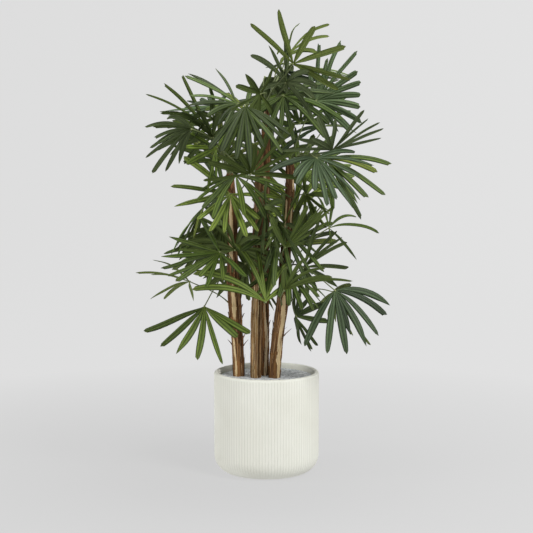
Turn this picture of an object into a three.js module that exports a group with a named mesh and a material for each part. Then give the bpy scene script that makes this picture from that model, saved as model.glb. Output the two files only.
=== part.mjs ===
// An artificial lady palm (Rhapis) in a round ribbed planter: four fibre-covered canes
// planted in a stone-topped filling, and fifty-four fan-shaped fronds, each on its own stalk.
// Millimetres, +Z up, origin at the middle of the planter's flat underside.
import * as THREE from "three";

// Planter
const POT_RADIUS = 170; // outside of the wall
const POT_HEIGHT = 330; // underside to rim
const POT_MOUTH_RADIUS = 154; // inside of the wall
const POT_BASE_ROUND = 58; // rounding between the underside and the wall
const POT_RIM_ROUND = 8; // half of the rounded rim's thickness
const POT_FLOOR = 22; // thickness of the floor
const POT_SIDES = 48;
const POT_BASE_STEPS = 5;

// Filling: its top is the ground that the canes stand on
const FILL_TOP = 315;
const TOUCH_GAP = 0.3; // between pieces that touch

// Canes: each row is one level ring, as x, y, z of its centre and its radius. The first ring is
// the flat foot, just off the filling, and the last is the cut top.
const CANE_SIDES = 12;
const CANES = {
  left: [
    [-89.8, 0, 315.3, 19.3],
    [-92.3, 0, 398.5, 19.3],
    [-101.7, 0, 529.3, 20.9],
    [-106.4, 0, 610.7, 20.9],
    [-109.4, 0, 698.3, 17.7],
    [-109.1, 0, 820.9, 16.1],
    [-112.1, 0, 901.3, 15.3],
    [-116.7, 0, 962.1, 12.9],
  ],
  midLeft: [
    [-35.1, -30, 315.3, 17.7],
    [-33.8, -30, 436.1, 17.7],
    [-31.1, -30, 566, 16.9],
    [-30.4, -30, 727.3, 16.1],
    [-27.1, -30, 829.9, 15.3],
    [-23.9, -30, 900.2, 14.5],
    [-22.2, -30, 1030.5, 12.9],
  ],
  midRight: [
    [-8.4, 12, 315.3, 16.9],
    [-8.1, 12, 429.3, 16.9],
    [-8.7, 12, 560.3, 16.9],
    [-5.5, 12, 739.1, 15.3],
    [-3.8, 5, 917, 15.3],
    [-1.6, 0, 1045.1, 14.5],
    [-3.2, -5, 1184.9, 12.1],
  ],
  right: [
    [24.9, -30, 315.3, 19.3],
    [31.6, -30, 403.6, 19.3],
    [39.5, -30, 468.7, 19.3],
    [48.2, -28, 533.3, 20.1],
    [56.2, -25, 597.7, 19.3],
    [60.9, -20, 713.4, 17.7],
    [68.8, -10, 821.8, 16.1],
    [74.3, 0, 910.9, 15.3],
    [75.1, 0, 1000.5, 13.7],
  ],
};

// Fronds. The leaflets are thin blades with a flat underside and a low ridge.
const BLADE_WIDTH = 21.5; // widest part of a leaflet
const BLADE_RIDGE = 1.7; // ridge above the leaflet's middle plane
const BLADE_KEEL = 0.7; // underside below it
const LINE_STEPS = 10; // steps of a leaflet's centre line
const BLADE_STATIONS = [
  [4, 0.9],
  [8, 0.92],
]; // step along the leaflet, and width there as a share of the widest
const HUB_HALF = 1.7; // half the thickness of the hub where the leaflets meet
const NOTCH_HALF = 2.4; // half the width of a leaflet's foot
const STALK_HALF = 2.2; // half the width of the stalk
const STALK_RIDGE = 1.7;
const STALK_KEEL = 1.3;
const STALK_STATIONS = [0.12, 0.36, 0.66, 1]; // along the stalk from the hub to the cane
const STALK_GAP = 0.4; // between the stalk's end and the bark

// Greens of the leaves, dealt out by frond.
const GREENS = [0x55692c, 0x475a2a, 0x3b4a24, 0x46543a, 0x37452c, 0x415441];

// Each row is one frond, from the top of the palm down:
//   cane, height where its stalk leaves the cane, [hub x, y, z],
//   turn about the vertical, rise above the level, roll about its own axis (degrees),
//   cup of the fan (degrees), droop of the leaflets, width as a share of BLADE_WIDTH, green,
//   [angle of each leaflet in the fan (degrees)], [length of each leaflet].
const FRONDS = [
  ["midRight", 1178, [59, 67, 1339], 182, 105, 209, -12, 0.76, 0.59, 0, [-100, -68, -32, 16, 29, 51], [163, 197, 184, 191, 188, 167]],
  ["midRight", 1172, [83, 149, 1322], 52, -2, -2, -5, 0.11, 1, 1, [-64, -44, -11, 15, 38, 64], [199, 204, 231, 214, 202, 191]],
  ["midRight", 1181, [84, -102, 1318], 300, 43, 42, -4, 0.08, 1, 0, [-68, -34, 0, 32, 66], [188, 211, 179, 208, 194]],
  ["midRight", 1103, [57, 118, 1299], 37, -31, 13, 2, 0.1, 1, 5, [-55, -40, -15, 11, 30, 68], [184, 224, 204, 201, 180, 168]],
  ["midRight", 1155, [-5, 89, 1277], 64, -29, 33, -8, 0.66, 1, 3, [-57, -42, -19, 12, 35, 50], [168, 191, 156, 192, 189, 184]],
  ["midRight", 1171, [63, -34, 1258], 310, 39, 93, -12, 0.53, 1, 3, [-141, -95, -41, 11, 26, 57, 103, 161], [116, 172, 155, 165, 215, 222, 155, 116]],
  ["midRight", 1182, [-20, -144, 1225], 220, -15, -55, -13, 0.03, 1, 2, [-123, -87, -34, 8, 36, 48, 88], [203, 172, 127, 165, 215, 224, 135]],
  ["midRight", 1164, [53, -71, 1218], 292, -50, -29, 2, 0.65, 1, 4, [-92, -77, -40, 0, 35, 63, 95], [181, 180, 175, 165, 212, 212, 169]],
  ["right", 988, [158, 5, 1201], 322, 32, -75, -1, 0.24, 1, 5, [-56, -44, -31, -19, -7, 5, 22, 43, 66], [193, 223, 193, 183, 185, 183, 212, 206, 194]],
  ["midRight", 1182, [-89, -102, 1193], 206, 28, 40, 1, 0.45, 0.92, 3, [-67, -27, -13, 24, 40, 66], [187, 183, 192, 217, 169, 197]],
  ["midRight", 1112, [-65, -258, 1189], 271, -37, 1, -5, 0.57, 1, 2, [-26, -9, 5, 40, 56], [192, 207, 234, 205, 168]],
  ["midRight", 1121, [33, 166, 1185], 56, 42, 3, 1, 0.38, 1, 3, [-83, -67, -40, 8, 27, 56, 70, 85], [197, 199, 226, 175, 187, 201, 204, 212]],
  ["midRight", 1178, [-174, 188, 1183], 111, 20, 14, -11, 0.1, 1, 5, [-65, -32, -12, 9, 36, 54], [166, 198, 206, 217, 217, 171]],
  ["midRight", 1164, [-67, 57, 1163], 117, 37, 31, -1, 0.59, 1, 1, [-94, -67, -27, 2, 27, 66, 111], [174, 183, 194, 185, 183, 184, 178]],
  ["left", 959, [-173, 70, 1139], 50, 67, 68, 0, 0.65, 1, 4, [-92, -45, 10, 45, 60], [228, 142, 112, 165, 229]],
  ["midRight", 1182, [109, 122, 1127], 69, 38, 2, 5, 0.15, 1, 4, [-73, -41, -8, 12, 42, 76], [175, 209, 180, 187, 232, 188]],
  ["left", 911, [-194, 35, 1124], 189, 39, -34, 5, 0.35, 1, 1, [-51, -28, -13, 13, 38], [168, 168, 222, 195, 216]],
  ["right", 985, [183, 82, 1119], 99, 44, 2, -17, 0.72, 1, 5, [-55, -24, 23, 39, 70], [167, 235, 211, 172, 177]],
  ["left", 959, [-231, -197, 1118], 198, -7, -34, 4, 0.65, 0.93, 3, [-82, -69, -56, -25, -4, 21, 44, 62], [160, 196, 217, 170, 143, 135, 215, 193]],
  ["midLeft", 904, [-171, -17, 1086], 207, 53, -29, -6, 0.78, 1, 4, [-69, -54, -23, -2, 27, 47, 66], [165, 202, 200, 206, 189, 219, 194]],
  ["right", 997, [202, -169, 1052], 307, 43, -1, 4, 0.14, 0.91, 3, [-84, -68, -42, -26, 1, 41, 57, 73], [206, 199, 235, 164, 192, 171, 180, 182]],
  ["left", 936, [-157, -19, 1052], 239, 6, 65, 2, 0.08, 1, 1, [-17, 1, 16, 46], [163, 184, 232, 205]],
  ["right", 997, [152, -250, 1031], 288, -44, 14, 14, 0.58, 1, 5, [-75, -49, -26, -11, 5, 20, 37, 103], [217, 178, 166, 214, 172, 210, 192, 208]],
  ["right", 986, [182, -143, 1026], 350, -15, -51, -6, 0.52, 0.98, 1, [-63, -37, -16, 0, 23, 36], [177, 230, 184, 222, 175, 226]],
  ["left", 959, [-144, 103, 1008], 97, 66, -7, -1, 0.05, 1, 2, [-75, -60, -41, -24, 1, 21, 38, 54, 74], [178, 176, 185, 185, 180, 181, 188, 177, 178]],
  ["midLeft", 1017, [5, 150, 1008], 67, 50, -21, -7, 0.39, 1, 4, [-105, -78, -51, -23, -3, 33, 62, 84, 100], [173, 204, 211, 199, 225, 223, 203, 192, 176]],
  ["left", 850, [-50, -150, 978], 322, 56, 15, -5, 0.11, 1, 2, [-78, -51, -37, -12, 10, 37, 53, 77], [201, 185, 177, 206, 218, 191, 187, 179]],
  ["left", 957, [-95, -119, 971], 304, -25, -15, 0, 0.57, 1, 1, [-86, -71, -54, -20, 1, 19, 45, 59, 96], [165, 178, 202, 181, 207, 210, 203, 168, 176]],
  ["right", 997, [105, 45, 965], 40, 49, -36, -3, 0.32, 1, 4, [-71, -53, -39, -19, -2, 16, 33, 49, 65], [165, 182, 178, 178, 204, 176, 197, 181, 181]],
  ["left", 937, [-136, 28, 910], 118, 23, 79, -6, 0.03, 1, 4, [-21, -5, 36, 53], [172, 235, 199, 162]],
  ["left", 861, [-114, -108, 912], 240, -36, 16, 12, 0.25, 1, 0, [-114, -77, -49, 5, 39, 60, 104], [213, 189, 186, 195, 235, 176, 166]],
  ["right", 853, [125, -70, 909], 336, -35, 43, -7, 0, 1, 1, [-94, -56, -6, 33, 79, 97], [205, 194, 105, 129, 170, 222]],
  ["midRight", 885, [-2, -196, 875], 315, -47, 66, -1, 0.48, 1, 4, [-75, -20, 27, 52, 73, 95], [172, 228, 181, 166, 218, 171]],
  ["left", 899, [-207, 145, 853], 146, -33, 20, -6, 0.78, 1, 1, [-91, -72, -43, -27, -5, 23, 45, 71, 96], [169, 169, 180, 164, 194, 197, 193, 202, 169]],
  ["right", 923, [95, 115, 846], 125, 48, 37, 3, 0.37, 1, 0, [-70, -51, -31, -17, 5, 20, 38, 55, 74], [182, 162, 182, 177, 175, 198, 160, 184, 164]],
  ["right", 787, [54, -179, 824], 271, 67, -66, 0, 0.51, 1, 2, [-80, -37, -3, 58, 119], [164, 234, 116, 234, 165]],
  ["midRight", 869, [50, -63, 806], 306, -44, 2, -12, 0.37, 1, 4, [-79, -44, -30, -11, 9, 24, 46, 70], [179, 185, 222, 199, 209, 182, 203, 171]],
  ["left", 701, [-143, 87, 796], 101, -50, -23, -13, 0.54, 1, 2, [-70, -49, -35, -9, 7, 28, 49, 63], [190, 223, 213, 218, 222, 215, 202, 188]],
  ["right", 616, [202, 23, 793], 30, 8, -58, -10, 0.71, 0.58, 1, [-93, -46, 11, 33, 57, 72], [60, 143, 249, 194, 191, 202]],
  ["right", 664, [57, -173, 752], 321, 44, 0, 5, 0, 1, 1, [-52, -15, 23, 39, 86], [228, 195, 175, 201, 197]],
  ["left", 632, [-145, -156, 734], 201, -17, 23, 6, 0.02, 1, 2, [-97, -56, -21, -2, 12, 27, 69, 89], [223, 189, 184, 198, 200, 216, 165, 213]],
  ["right", 726, [76, 74, 730], 76, 42, -29, 6, 0.22, 1, 2, [-57, -33, -12, 20, 38, 66], [173, 201, 210, 194, 181, 210]],
  ["left", 726, [-99, -46, 730], 243, 60, -4, 4, 0.82, 1, 2, [-96, -69, -55, -16, -1, 25, 59, 79, 103], [165, 188, 191, 193, 184, 188, 190, 175, 168]],
  ["midRight", 727, [-140, 181, 703], 132, 52, 32, -10, 0.76, 1, 1, [-74, -61, -40, -20, 2, 19, 42, 62, 78], [197, 181, 209, 217, 196, 199, 222, 196, 190]],
  ["right", 693, [-68, 19, 678], 122, -28, -42, 0, 0.51, 1, 2, [-67, -49, -35, -12, 3, 19, 33, 48, 66], [201, 210, 165, 207, 217, 208, 183, 206, 206]],
  ["right", 603, [118, -26, 672], 16, 27, 47, 3, 0.32, 1, 4, [-68, -23, -9, 33, 56, 76], [222, 158, 166, 208, 226, 161]],
  ["left", 856, [65, -50, 672], 309, -20, 9, -11, 0.5, 1, 4, [-71, -47, -33, -18, -3, 13, 32, 46, 65], [180, 153, 181, 195, 192, 199, 179, 142, 185]],
  ["right", 533, [54, -224, 624], 325, 46, 27, -4, 0.66, 1, 1, [-37, -22, -5, 11, 27], [172, 234, 191, 174, 220]],
  ["left", 521, [-250, 40, 617], 166, 5, -34, 11, 0.56, 0.7, 0, [-81, -45, -32, 17, 65], [160, 196, 216, 182, 185]],
  ["right", 665, [215, -137, 611], 322, -39, -44, -7, 1, 1, 5, [-80, -49, -25, 3, 22, 52, 69], [202, 202, 207, 203, 199, 187, 195]],
  ["midLeft", 668, [-2, -186, 581], 205, 67, 85, -17, 0.72, 1, 0, [-77, -57, -43, -28, -14, 20, 32], [140, 221, 209, 189, 218, 253, 240]],
  ["right", 508, [221, 143, 569], 4, -63, 14, -3, 0, 1, 0, [-98, -33, -3, 58], [223, 230, 162, 204]],
  ["left", 641, [-196, -112, 557], 253, -48, 2, -3, 0.01, 1, 0, [-60, -36, -17, 5, 27, 52, 65], [208, 191, 186, 194, 225, 166, 183]],
  ["right", 635, [96, 15, 506], 53, -40, -59, 11, 0, 1, 4, [-123, -80, -36, 27, 44, 83], [189, 147, 120, 210, 227, 170]],
];

const rad = (degrees) => (degrees * Math.PI) / 180;
const vec = (x, y, z) => new THREE.Vector3(x, y, z);
const clamp = (x, lo, hi) => Math.min(Math.max(x, lo), hi);

// A closed mesh from a list of points and a list of triangles.
function solid(points, faces) {
  const g = new THREE.BufferGeometry();
  g.setAttribute(
    "position",
    new THREE.Float32BufferAttribute(points.flatMap((p) => [p.x, p.y, p.z]), 3),
  );
  g.setIndex(faces.flat());
  return g;
}

// Centre and radius of a cane at height z.
function caneAt(cane, z) {
  const s = CANES[cane];
  let i = 0;
  while (i < s.length - 2 && s[i + 1][2] < z) i++;
  const t = clamp((z - s[i][2]) / (s[i + 1][2] - s[i][2]), 0, 1);
  const at = (k) => s[i][k] + (s[i + 1][k] - s[i][k]) * t;
  return { centre: vec(at(0), at(1), at(2)), radius: at(3) };
}

// A cane: level rings, each on its own centre, joined into one tapering, leaning stem
// with a flat foot and a flat top.
function caneSolid(cane) {
  const points = [],
    faces = [],
    rings = CANES[cane],
    n = CANE_SIDES;
  for (const [x, y, z, r] of rings)
    for (let k = 0; k < n; k++) {
      const a = (2 * Math.PI * k) / n;
      points.push(vec(x + r * Math.cos(a), y + r * Math.sin(a), z));
    }
  for (let j = 0; j < rings.length - 1; j++)
    for (let k = 0; k < n; k++) {
      const a = j * n + k,
        b = j * n + ((k + 1) % n);
      faces.push([a, b, b + n], [a, b + n, a + n]);
    }
  const top = (rings.length - 1) * n;
  for (let k = 1; k < n - 1; k++) {
    faces.push([0, k + 1, k]);
    faces.push([top, top + k, top + k + 1]);
  }
  return solid(points, faces);
}

// The fan's own axes: along its middle leaflet, across it, and up out of its upper face.
function fanAxes(f) {
  const a = rad(f.turn),
    e = rad(f.rise),
    r = rad(f.roll);
  const along = vec(Math.cos(e) * Math.cos(a), Math.cos(e) * Math.sin(a), Math.sin(e));
  const level = vec(-Math.sin(e) * Math.cos(a), -Math.sin(e) * Math.sin(a), Math.cos(e));
  const side = level.clone().cross(along);
  const up = level.multiplyScalar(Math.cos(r)).addScaledVector(side, Math.sin(r));
  return { along, across: up.clone().cross(along), up };
}

const inFan = (axes, angle) =>
  axes.along
    .clone()
    .multiplyScalar(Math.cos(rad(angle)))
    .addScaledVector(axes.across, Math.sin(rad(angle)));

// The centre line of one leaflet: it leaves the hub in the fan, cupped a little, and droops
// more and more towards its tip.
function centreLine(f, axes, angle, length) {
  const start = inFan(axes, angle)
    .multiplyScalar(Math.cos(rad(f.cup)))
    .addScaledVector(axes.up, Math.sin(rad(f.cup)));
  const p = f.hub.clone(),
    line = [p.clone()];
  for (let i = 0; i < LINE_STEPS; i++) {
    const d = start.clone();
    d.z -= (f.droop * (i + 0.5)) / LINE_STEPS;
    p.addScaledVector(d.normalize(), length / LINE_STEPS);
    line.push(p.clone());
  }
  return line;
}

// The widest gap between neighbouring leaflets, where the leaf stalk comes in.
function widestGap(angles) {
  let best = 0,
    from = 0;
  angles.forEach((a, i) => {
    const next = i + 1 < angles.length ? angles[i + 1] : angles[0] + 360;
    if (next - a > best) {
      best = next - a;
      from = i;
    }
  });
  return { from, start: angles[from], width: best };
}

// The leaf stalk: a curve from the cane, first rising, to the hub, where it comes in through
// the widest gap from below. Returned from the hub outwards.
function stalkCurve(f, axes) {
  const { centre, radius } = caneAt(f.cane, f.node);
  const way = f.hub.clone().sub(centre),
    length = way.length();
  way.divideScalar(length);
  const rise = way.clone().multiplyScalar(0.5).add(vec(0, 0, 0.6)).normalize();
  const gap = widestGap(f.angles);
  const back = way
    .clone()
    .multiplyScalar(-0.6)
    .addScaledVector(inFan(axes, gap.start + gap.width / 2), 0.7)
    .addScaledVector(axes.up, -0.15)
    .normalize();
  const turn = (Math.atan2(back.dot(axes.across), back.dot(axes.along)) * 180) / Math.PI;
  const margin = Math.min(28, gap.width / 2.2);
  let rel = (((turn - gap.start) % 360) + 360) % 360;
  if (rel > gap.width + (360 - gap.width) / 2) rel -= 360;
  rel = clamp(rel, margin, gap.width - margin);
  const dip = clamp(Math.asin(clamp(back.dot(axes.up), -1, 1)), rad(-62), rad(15));
  const leave = inFan(axes, gap.start + rel)
    .multiplyScalar(Math.cos(dip))
    .addScaledVector(axes.up, Math.sin(dip));
  return {
    angle: gap.start + rel,
    centre,
    radius,
    curve: new THREE.CubicBezierCurve3(
      f.hub.clone(),
      f.hub.clone().addScaledVector(leave, length * 0.36),
      centre.clone().addScaledVector(rise, length * 0.36),
      centre.clone(),
    ),
  };
}

// Three corners of a finger's section: low side, high side and the ridge between them.
function section(p, tangent, side, low, high, ridge, keel) {
  const n = tangent.clone().cross(side);
  return [
    p.clone().addScaledVector(side, -low).addScaledVector(n, -keel),
    p.clone().addScaledVector(side, high).addScaledVector(n, -keel),
    p.clone().addScaledVector(n, ridge),
  ];
}

// One frond as one closed solid: a hub with its leaflets and its stalk round it like the
// fingers of a star. Every finger has a flat underside and a ridge on top.
function frondSolid(f) {
  const axes = fanAxes(f);
  const stalk = stalkCurve(f, axes);
  const gap = widestGap(f.angles);
  const fingers = [];
  const n = f.angles.length;
  for (let k = 0; k < n; k++) {
    const i = (gap.from + 1 + k) % n;
    fingers.push({ angle: f.angles[i] + (i <= gap.from ? 360 : 0), length: f.lengths[i] });
  }
  fingers.push({ angle: stalk.angle + (stalk.angle < fingers[n - 1].angle ? 360 : 0), stalk });
  const points = [
    f.hub.clone().addScaledVector(axes.up, HUB_HALF),
    f.hub.clone().addScaledVector(axes.up, -HUB_HALF),
  ];
  const faces = [];
  const count = fingers.length;
  const turnTo = (i) => {
    const a = fingers[i].angle,
      b = fingers[(i + 1) % count].angle + (i + 1 === count ? 360 : 0);
    return b - a;
  };
  // The notch between each finger and the next one.
  const notch = [];
  for (let i = 0; i < count; i++) {
    const g = turnTo(i);
    const reach = clamp(NOTCH_HALF / Math.sin(rad(Math.min(g, 170) / 2)), 3.2, 13);
    notch.push(points.length);
    points.push(
      f.hub
        .clone()
        .addScaledVector(inFan(axes, fingers[i].angle + g / 2), reach)
        .addScaledVector(axes.up, Math.sin(rad(f.cup)) * reach),
    );
  }
  for (let i = 0; i < count; i++) {
    const finger = fingers[i];
    const before = notch[(i + count - 1) % count],
      after = notch[i];
    const sections = [];
    let tip = null;
    if (finger.stalk) {
      const { curve, centre, radius } = finger.stalk;
      const corners = (t, side) => {
        const tangent = curve.getTangent(t);
        const s = side
          .clone()
          .addScaledVector(tangent, -side.dot(tangent))
          .normalize();
        return [section(curve.getPoint(t), tangent, s, STALK_HALF, STALK_HALF, STALK_RIDGE, STALK_KEEL), s];
      };
      let side = axes.up.clone().cross(curve.getTangent(0.0)).normalize();
      // The stalk ends just off the cane's bark.
      let end = 1;
      const clear = (t) => {
        const [c] = corners(t, side0);
        return c.every((q) => {
          const here = caneAt(f.cane, q.z);
          return Math.hypot(q.x - here.centre.x, q.y - here.centre.y) > here.radius + STALK_GAP;
        });
      };
      let side0 = side.clone();
      for (const t of [0.12, 0.3, 0.5, 0.7, 0.85]) side0 = corners(t, side0)[1];
      while (end > 0.5 && !clear(end)) end -= 0.004;
      for (const k of STALK_STATIONS) {
        const [c, s] = corners(k * end, side);
        side = s;
        sections.push(c);
      }
    } else {
      const line = centreLine(f, axes, finger.angle, finger.length);
      const gapLow = turnTo((i + count - 1) % count),
        gapHigh = turnTo(i);
      for (const [k, share] of BLADE_STATIONS) {
        const tangent = line[k + 1].clone().sub(line[k - 1]).normalize();
        const side = axes.up.clone().cross(tangent).normalize();
        const reach = line[k].distanceTo(f.hub);
        const half = (share * f.width * BLADE_WIDTH) / 2;
        const limit = (g) => Math.min(half, 0.46 * reach * rad(Math.min(g, 60)));
        sections.push(section(line[k], tangent, side, limit(gapLow), limit(gapHigh), BLADE_RIDGE, BLADE_KEEL));
      }
      tip = line[LINE_STEPS];
    }
    const base = points.length;
    sections.forEach((s) => points.push(...s));
    const [l, h, r] = [base, base + 1, base + 2];
    faces.push([before, l, r], [before, r, 0], [0, r, h], [0, h, after]);
    faces.push([1, after, h], [1, h, l], [1, l, before]);
    let o = base;
    for (let j = 1; j < sections.length; j++, o += 3) {
      const [l1, h1, r1, l2, h2, r2] = [o, o + 1, o + 2, o + 3, o + 4, o + 5];
      faces.push([l1, l2, r2], [l1, r2, r1], [r1, r2, h2], [r1, h2, h1], [l1, h1, h2], [l1, h2, l2]);
    }
    if (tip) {
      const t = points.length;
      points.push(tip);
      faces.push([o, t, o + 2], [o + 2, t, o + 1], [o, o + 1, t]);
    } else faces.push([o, o + 1, o + 2]);
  }
  return solid(points, faces);
}

// The planter: one turned wall and floor, rounded at the base and over the rim.
function potSolid() {
  const inner = POT_MOUTH_RADIUS,
    outer = POT_RADIUS,
    b = POT_BASE_ROUND,
    r = POT_RIM_ROUND;
  const p = [new THREE.Vector2(0, 0)];
  for (let i = 0; i <= POT_BASE_STEPS; i++) {
    const a = (Math.PI / 2) * (i / POT_BASE_STEPS);
    p.push(new THREE.Vector2(outer - b + b * Math.sin(a), b - b * Math.cos(a)));
  }
  const d = r * Math.SQRT1_2;
  p.push(
    new THREE.Vector2(outer, POT_HEIGHT - r),
    new THREE.Vector2(outer - r + d, POT_HEIGHT - r + d),
    new THREE.Vector2(outer - r, POT_HEIGHT),
    new THREE.Vector2(inner + r - d, POT_HEIGHT - r + d),
    new THREE.Vector2(inner, POT_HEIGHT - r),
    new THREE.Vector2(inner, POT_FLOOR),
    new THREE.Vector2(0, POT_FLOOR),
  );
  return turned(p);
}

// The filling: a plug from the planter's floor up to the ground.
function fillSolid() {
  const r = POT_MOUTH_RADIUS - TOUCH_GAP;
  return turned([
    new THREE.Vector2(0, POT_FLOOR + TOUCH_GAP),
    new THREE.Vector2(r, POT_FLOOR + TOUCH_GAP),
    new THREE.Vector2(r, FILL_TOP),
    new THREE.Vector2(0, FILL_TOP),
  ]);
}

// A profile (radius, height) turned about the vertical axis.
function turned(profile) {
  return new THREE.LatheGeometry(profile, POT_SIDES).rotateX(Math.PI / 2);
}

const plant = new THREE.Group();
plant.name = "lady_palm";
function add(name, geometry, color, roughness) {
  const material = new THREE.MeshStandardMaterial({ color, roughness, metalness: 0 });
  const mesh = new THREE.Mesh(geometry, material);
  mesh.name = name;
  plant.add(mesh);
}

add("pot", potSolid(), 0xe6e4dc, 0.75);
add("fill", fillSolid(), 0xa9adb0, 0.9);
const CANE_NAMES = {
  left: "cane_left",
  midLeft: "cane_mid_left",
  midRight: "cane_mid_right",
  right: "cane_right",
};
for (const [cane, name] of Object.entries(CANE_NAMES)) add(name, caneSolid(cane), 0x7a5a40, 0.95);
FRONDS.forEach((row, i) => {
  const [cane, node, hub, turn, rise, roll, cup, droop, width, green, angles, lengths] = row;
  const f = { cane, node, hub: vec(...hub), turn, rise, roll, cup, droop, width, angles, lengths };
  add("frond_" + String(i + 1).padStart(2, "0"), frondSolid(f), GREENS[green], 0.55);
});

export default plant;
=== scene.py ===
"""Looks of the artificial lady palm in its ribbed planter: fan leaves of pleated leaflets on thin stalks,
four canes wrapped in brown fibre with bare strips, a glassy stone topping and an off-white ribbed pot."""

import math

import bpy
import numpy as np
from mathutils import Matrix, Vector


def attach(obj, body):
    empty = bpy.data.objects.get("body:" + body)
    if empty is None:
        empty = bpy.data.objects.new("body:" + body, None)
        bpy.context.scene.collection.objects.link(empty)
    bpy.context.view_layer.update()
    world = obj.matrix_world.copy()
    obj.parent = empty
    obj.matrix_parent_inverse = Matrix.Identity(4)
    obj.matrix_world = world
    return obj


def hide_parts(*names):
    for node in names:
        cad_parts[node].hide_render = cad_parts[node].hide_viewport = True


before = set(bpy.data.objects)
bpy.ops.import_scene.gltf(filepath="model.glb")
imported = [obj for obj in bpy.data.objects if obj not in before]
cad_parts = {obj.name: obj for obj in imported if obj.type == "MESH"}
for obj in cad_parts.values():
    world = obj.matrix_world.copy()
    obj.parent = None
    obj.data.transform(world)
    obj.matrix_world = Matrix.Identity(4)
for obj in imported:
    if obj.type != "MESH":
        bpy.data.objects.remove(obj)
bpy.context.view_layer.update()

MM = 0.001
Z = np.array([0.0, 0.0, 1.0])

# --- sizes, in millimetres, as the construction has them
POT_RADIUS, POT_HEIGHT, POT_MOUTH = 170.0, 330.0, 154.0
POT_BASE_ROUND, POT_RIM_ROUND, POT_FLOOR = 58.0, 8.0, 22.0
POT_RIBS, RIB_DEPTH = 110, 1.05
POT_REEDS = (0.185, 0.500)
FILL_TOP = 315.0
BLADE_WIDTH = 19.4
BLADE_THICK = 0.38

# Level rings of each cane: x, y, z of the centre and radius
CANES = {
    "left": [
        (-89.8, 0, 315.3, 19.3),
        (-92.3, 0, 398.5, 19.3),
        (-101.7, 0, 529.3, 20.9),
        (-106.4, 0, 610.7, 20.9),
        (-109.4, 0, 698.3, 17.7),
        (-109.1, 0, 820.9, 16.1),
        (-112.1, 0, 901.3, 15.3),
        (-116.7, 0, 962.1, 12.9),
    ],
    "mid_left": [
        (-35.1, -30, 315.3, 17.7),
        (-33.8, -30, 436.1, 17.7),
        (-31.1, -30, 566.0, 16.9),
        (-30.4, -30, 727.3, 16.1),
        (-27.1, -30, 829.9, 15.3),
        (-23.9, -30, 900.2, 14.5),
        (-22.2, -30, 1030.5, 12.9),
    ],
    "mid_right": [
        (-8.4, 12, 315.3, 16.9),
        (-8.1, 12, 429.3, 16.9),
        (-8.7, 12, 560.3, 16.9),
        (-5.5, 12, 739.1, 15.3),
        (-3.8, 5, 917.0, 15.3),
        (-1.6, 0, 1045.1, 14.5),
        (-3.2, -5, 1184.9, 12.1),
    ],
    "right": [
        (24.9, -30, 315.3, 19.3),
        (31.6, -30, 403.6, 19.3),
        (39.5, -30, 468.7, 19.3),
        (48.2, -28, 533.3, 20.1),
        (56.2, -25, 597.7, 19.3),
        (60.9, -20, 713.4, 17.7),
        (68.8, -10, 821.8, 16.1),
        (74.3, 0, 910.9, 15.3),
        (75.1, 0, 1000.5, 13.7),
    ],
}

# Where the fibre is gone and bare cane shows. Each strip is a list of a height and the angles
# between which it lies there, in degrees to the right of the side that faces the viewer.
BARE = {
    "left": [
        [(498, -25, 10), (527, -29, 7), (549, -24, 13), (578, -34, 11), (618, -27, 5)],
        [(306, -38, -6), (351, -40, -13), (380, -41, -17), (408, -57, -18), (446, -49, -26)],
        [(676, -34, 6), (700, -44, 4), (740, -50, 8), (790, -46, 12), (840, -52, 0), (876, -40, 6), (904, -44, -4)],
        [(924, -90, -30), (943, -86, -34)],
    ],
    "mid_left": [
        [(306, -40, -29), (400, -36, -24), (520, -42, -31), (640, -34, -22), (760, -38, -26), (919, -32, -20)],
        [(306, -14, -5), (390, -16, -4), (470, -12, 1), (560, -16, -3), (640, -12, 0), (700, -15, -6)],
        [(440, 10, 21), (560, 14, 27), (690, 9, 20)],
        [(306, 16, 25), (400, 12, 24)],
        [(330, -68, -60), (430, -66, -54), (520, -70, -62)],
        [(720, -4, 10), (880, -2, 12)],
    ],
    "mid_right": [
        [(304, -5, 30), (334, 0, 38), (367, 5, 45), (399, 8, 50), (432, 16, 60), (465, 12, 52), (497, 0, 30), (530, -8, 25), (570, -12, 15)],
        [(910, -40, 4), (971, -46, 7)],
        [(1140, -48, -4), (1179, -52, -1)],
    ],
    "right": [
        [(306, 27, 66), (358, 20, 62), (371, 0, 56), (413, 6, 67), (456, 0, 50), (497, 6, 58), (539, -5, 45), (588, -19, 40)],
        [(786, -62, -28), (830, -52, -22), (890, -56, -24)],
        [(790, 22, 58), (838, 30, 65), (884, 26, 60)],
        [(915, 44, 84), (985, 50, 88)],
        [(697, -5, 60), (726, -5, 60)],
    ],
}
BARE_BACK = {
    "left": [[(340, 120, 165), (520, 128, 160)], [(600, 190, 240), (780, 200, 236)]],
    "mid_left": [[(330, 150, 200), (470, 160, 196)], [(520, 95, 130), (700, 90, 126)], [(760, 200, 250), (900, 206, 240)]],
    "mid_right": [[(350, 170, 215), (560, 164, 208)], [(640, 110, 150), (820, 118, 150)], [(880, 215, 250), (1010, 220, 252)]],
    "right": [[(330, 140, 190), (450, 146, 186)], [(500, 205, 250), (690, 211, 246)], [(760, 120, 160), (900, 126, 156)]],
}

# Broken leaf bases: z, angle, length, width, lean outwards in degrees
STUBS = {
    "left": [(423, -72, 15, 7, 38), (440, 66, 20, 6, 30), (418, 84, 20, 5, 40), (925, -70, 12, 8, 25), (930, 12, 16, 8, 12)],
    "mid_left": [(470, 150, 18, 8, 30), (640, 230, 16, 8, 28), (1000, -60, 20, 8, 16)],
    "mid_right": [(600, 190, 18, 8, 30), (820, 120, 16, 8, 26), (1150, 40, 22, 8, 14)],
    "right": [(455, 84, 26, 6, 42), (331, -20, 12, 6, 12), (560, 170, 18, 8, 30), (963, 8, 24, 7, 6), (940, -40, 20, 7, 14)],
}

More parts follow.
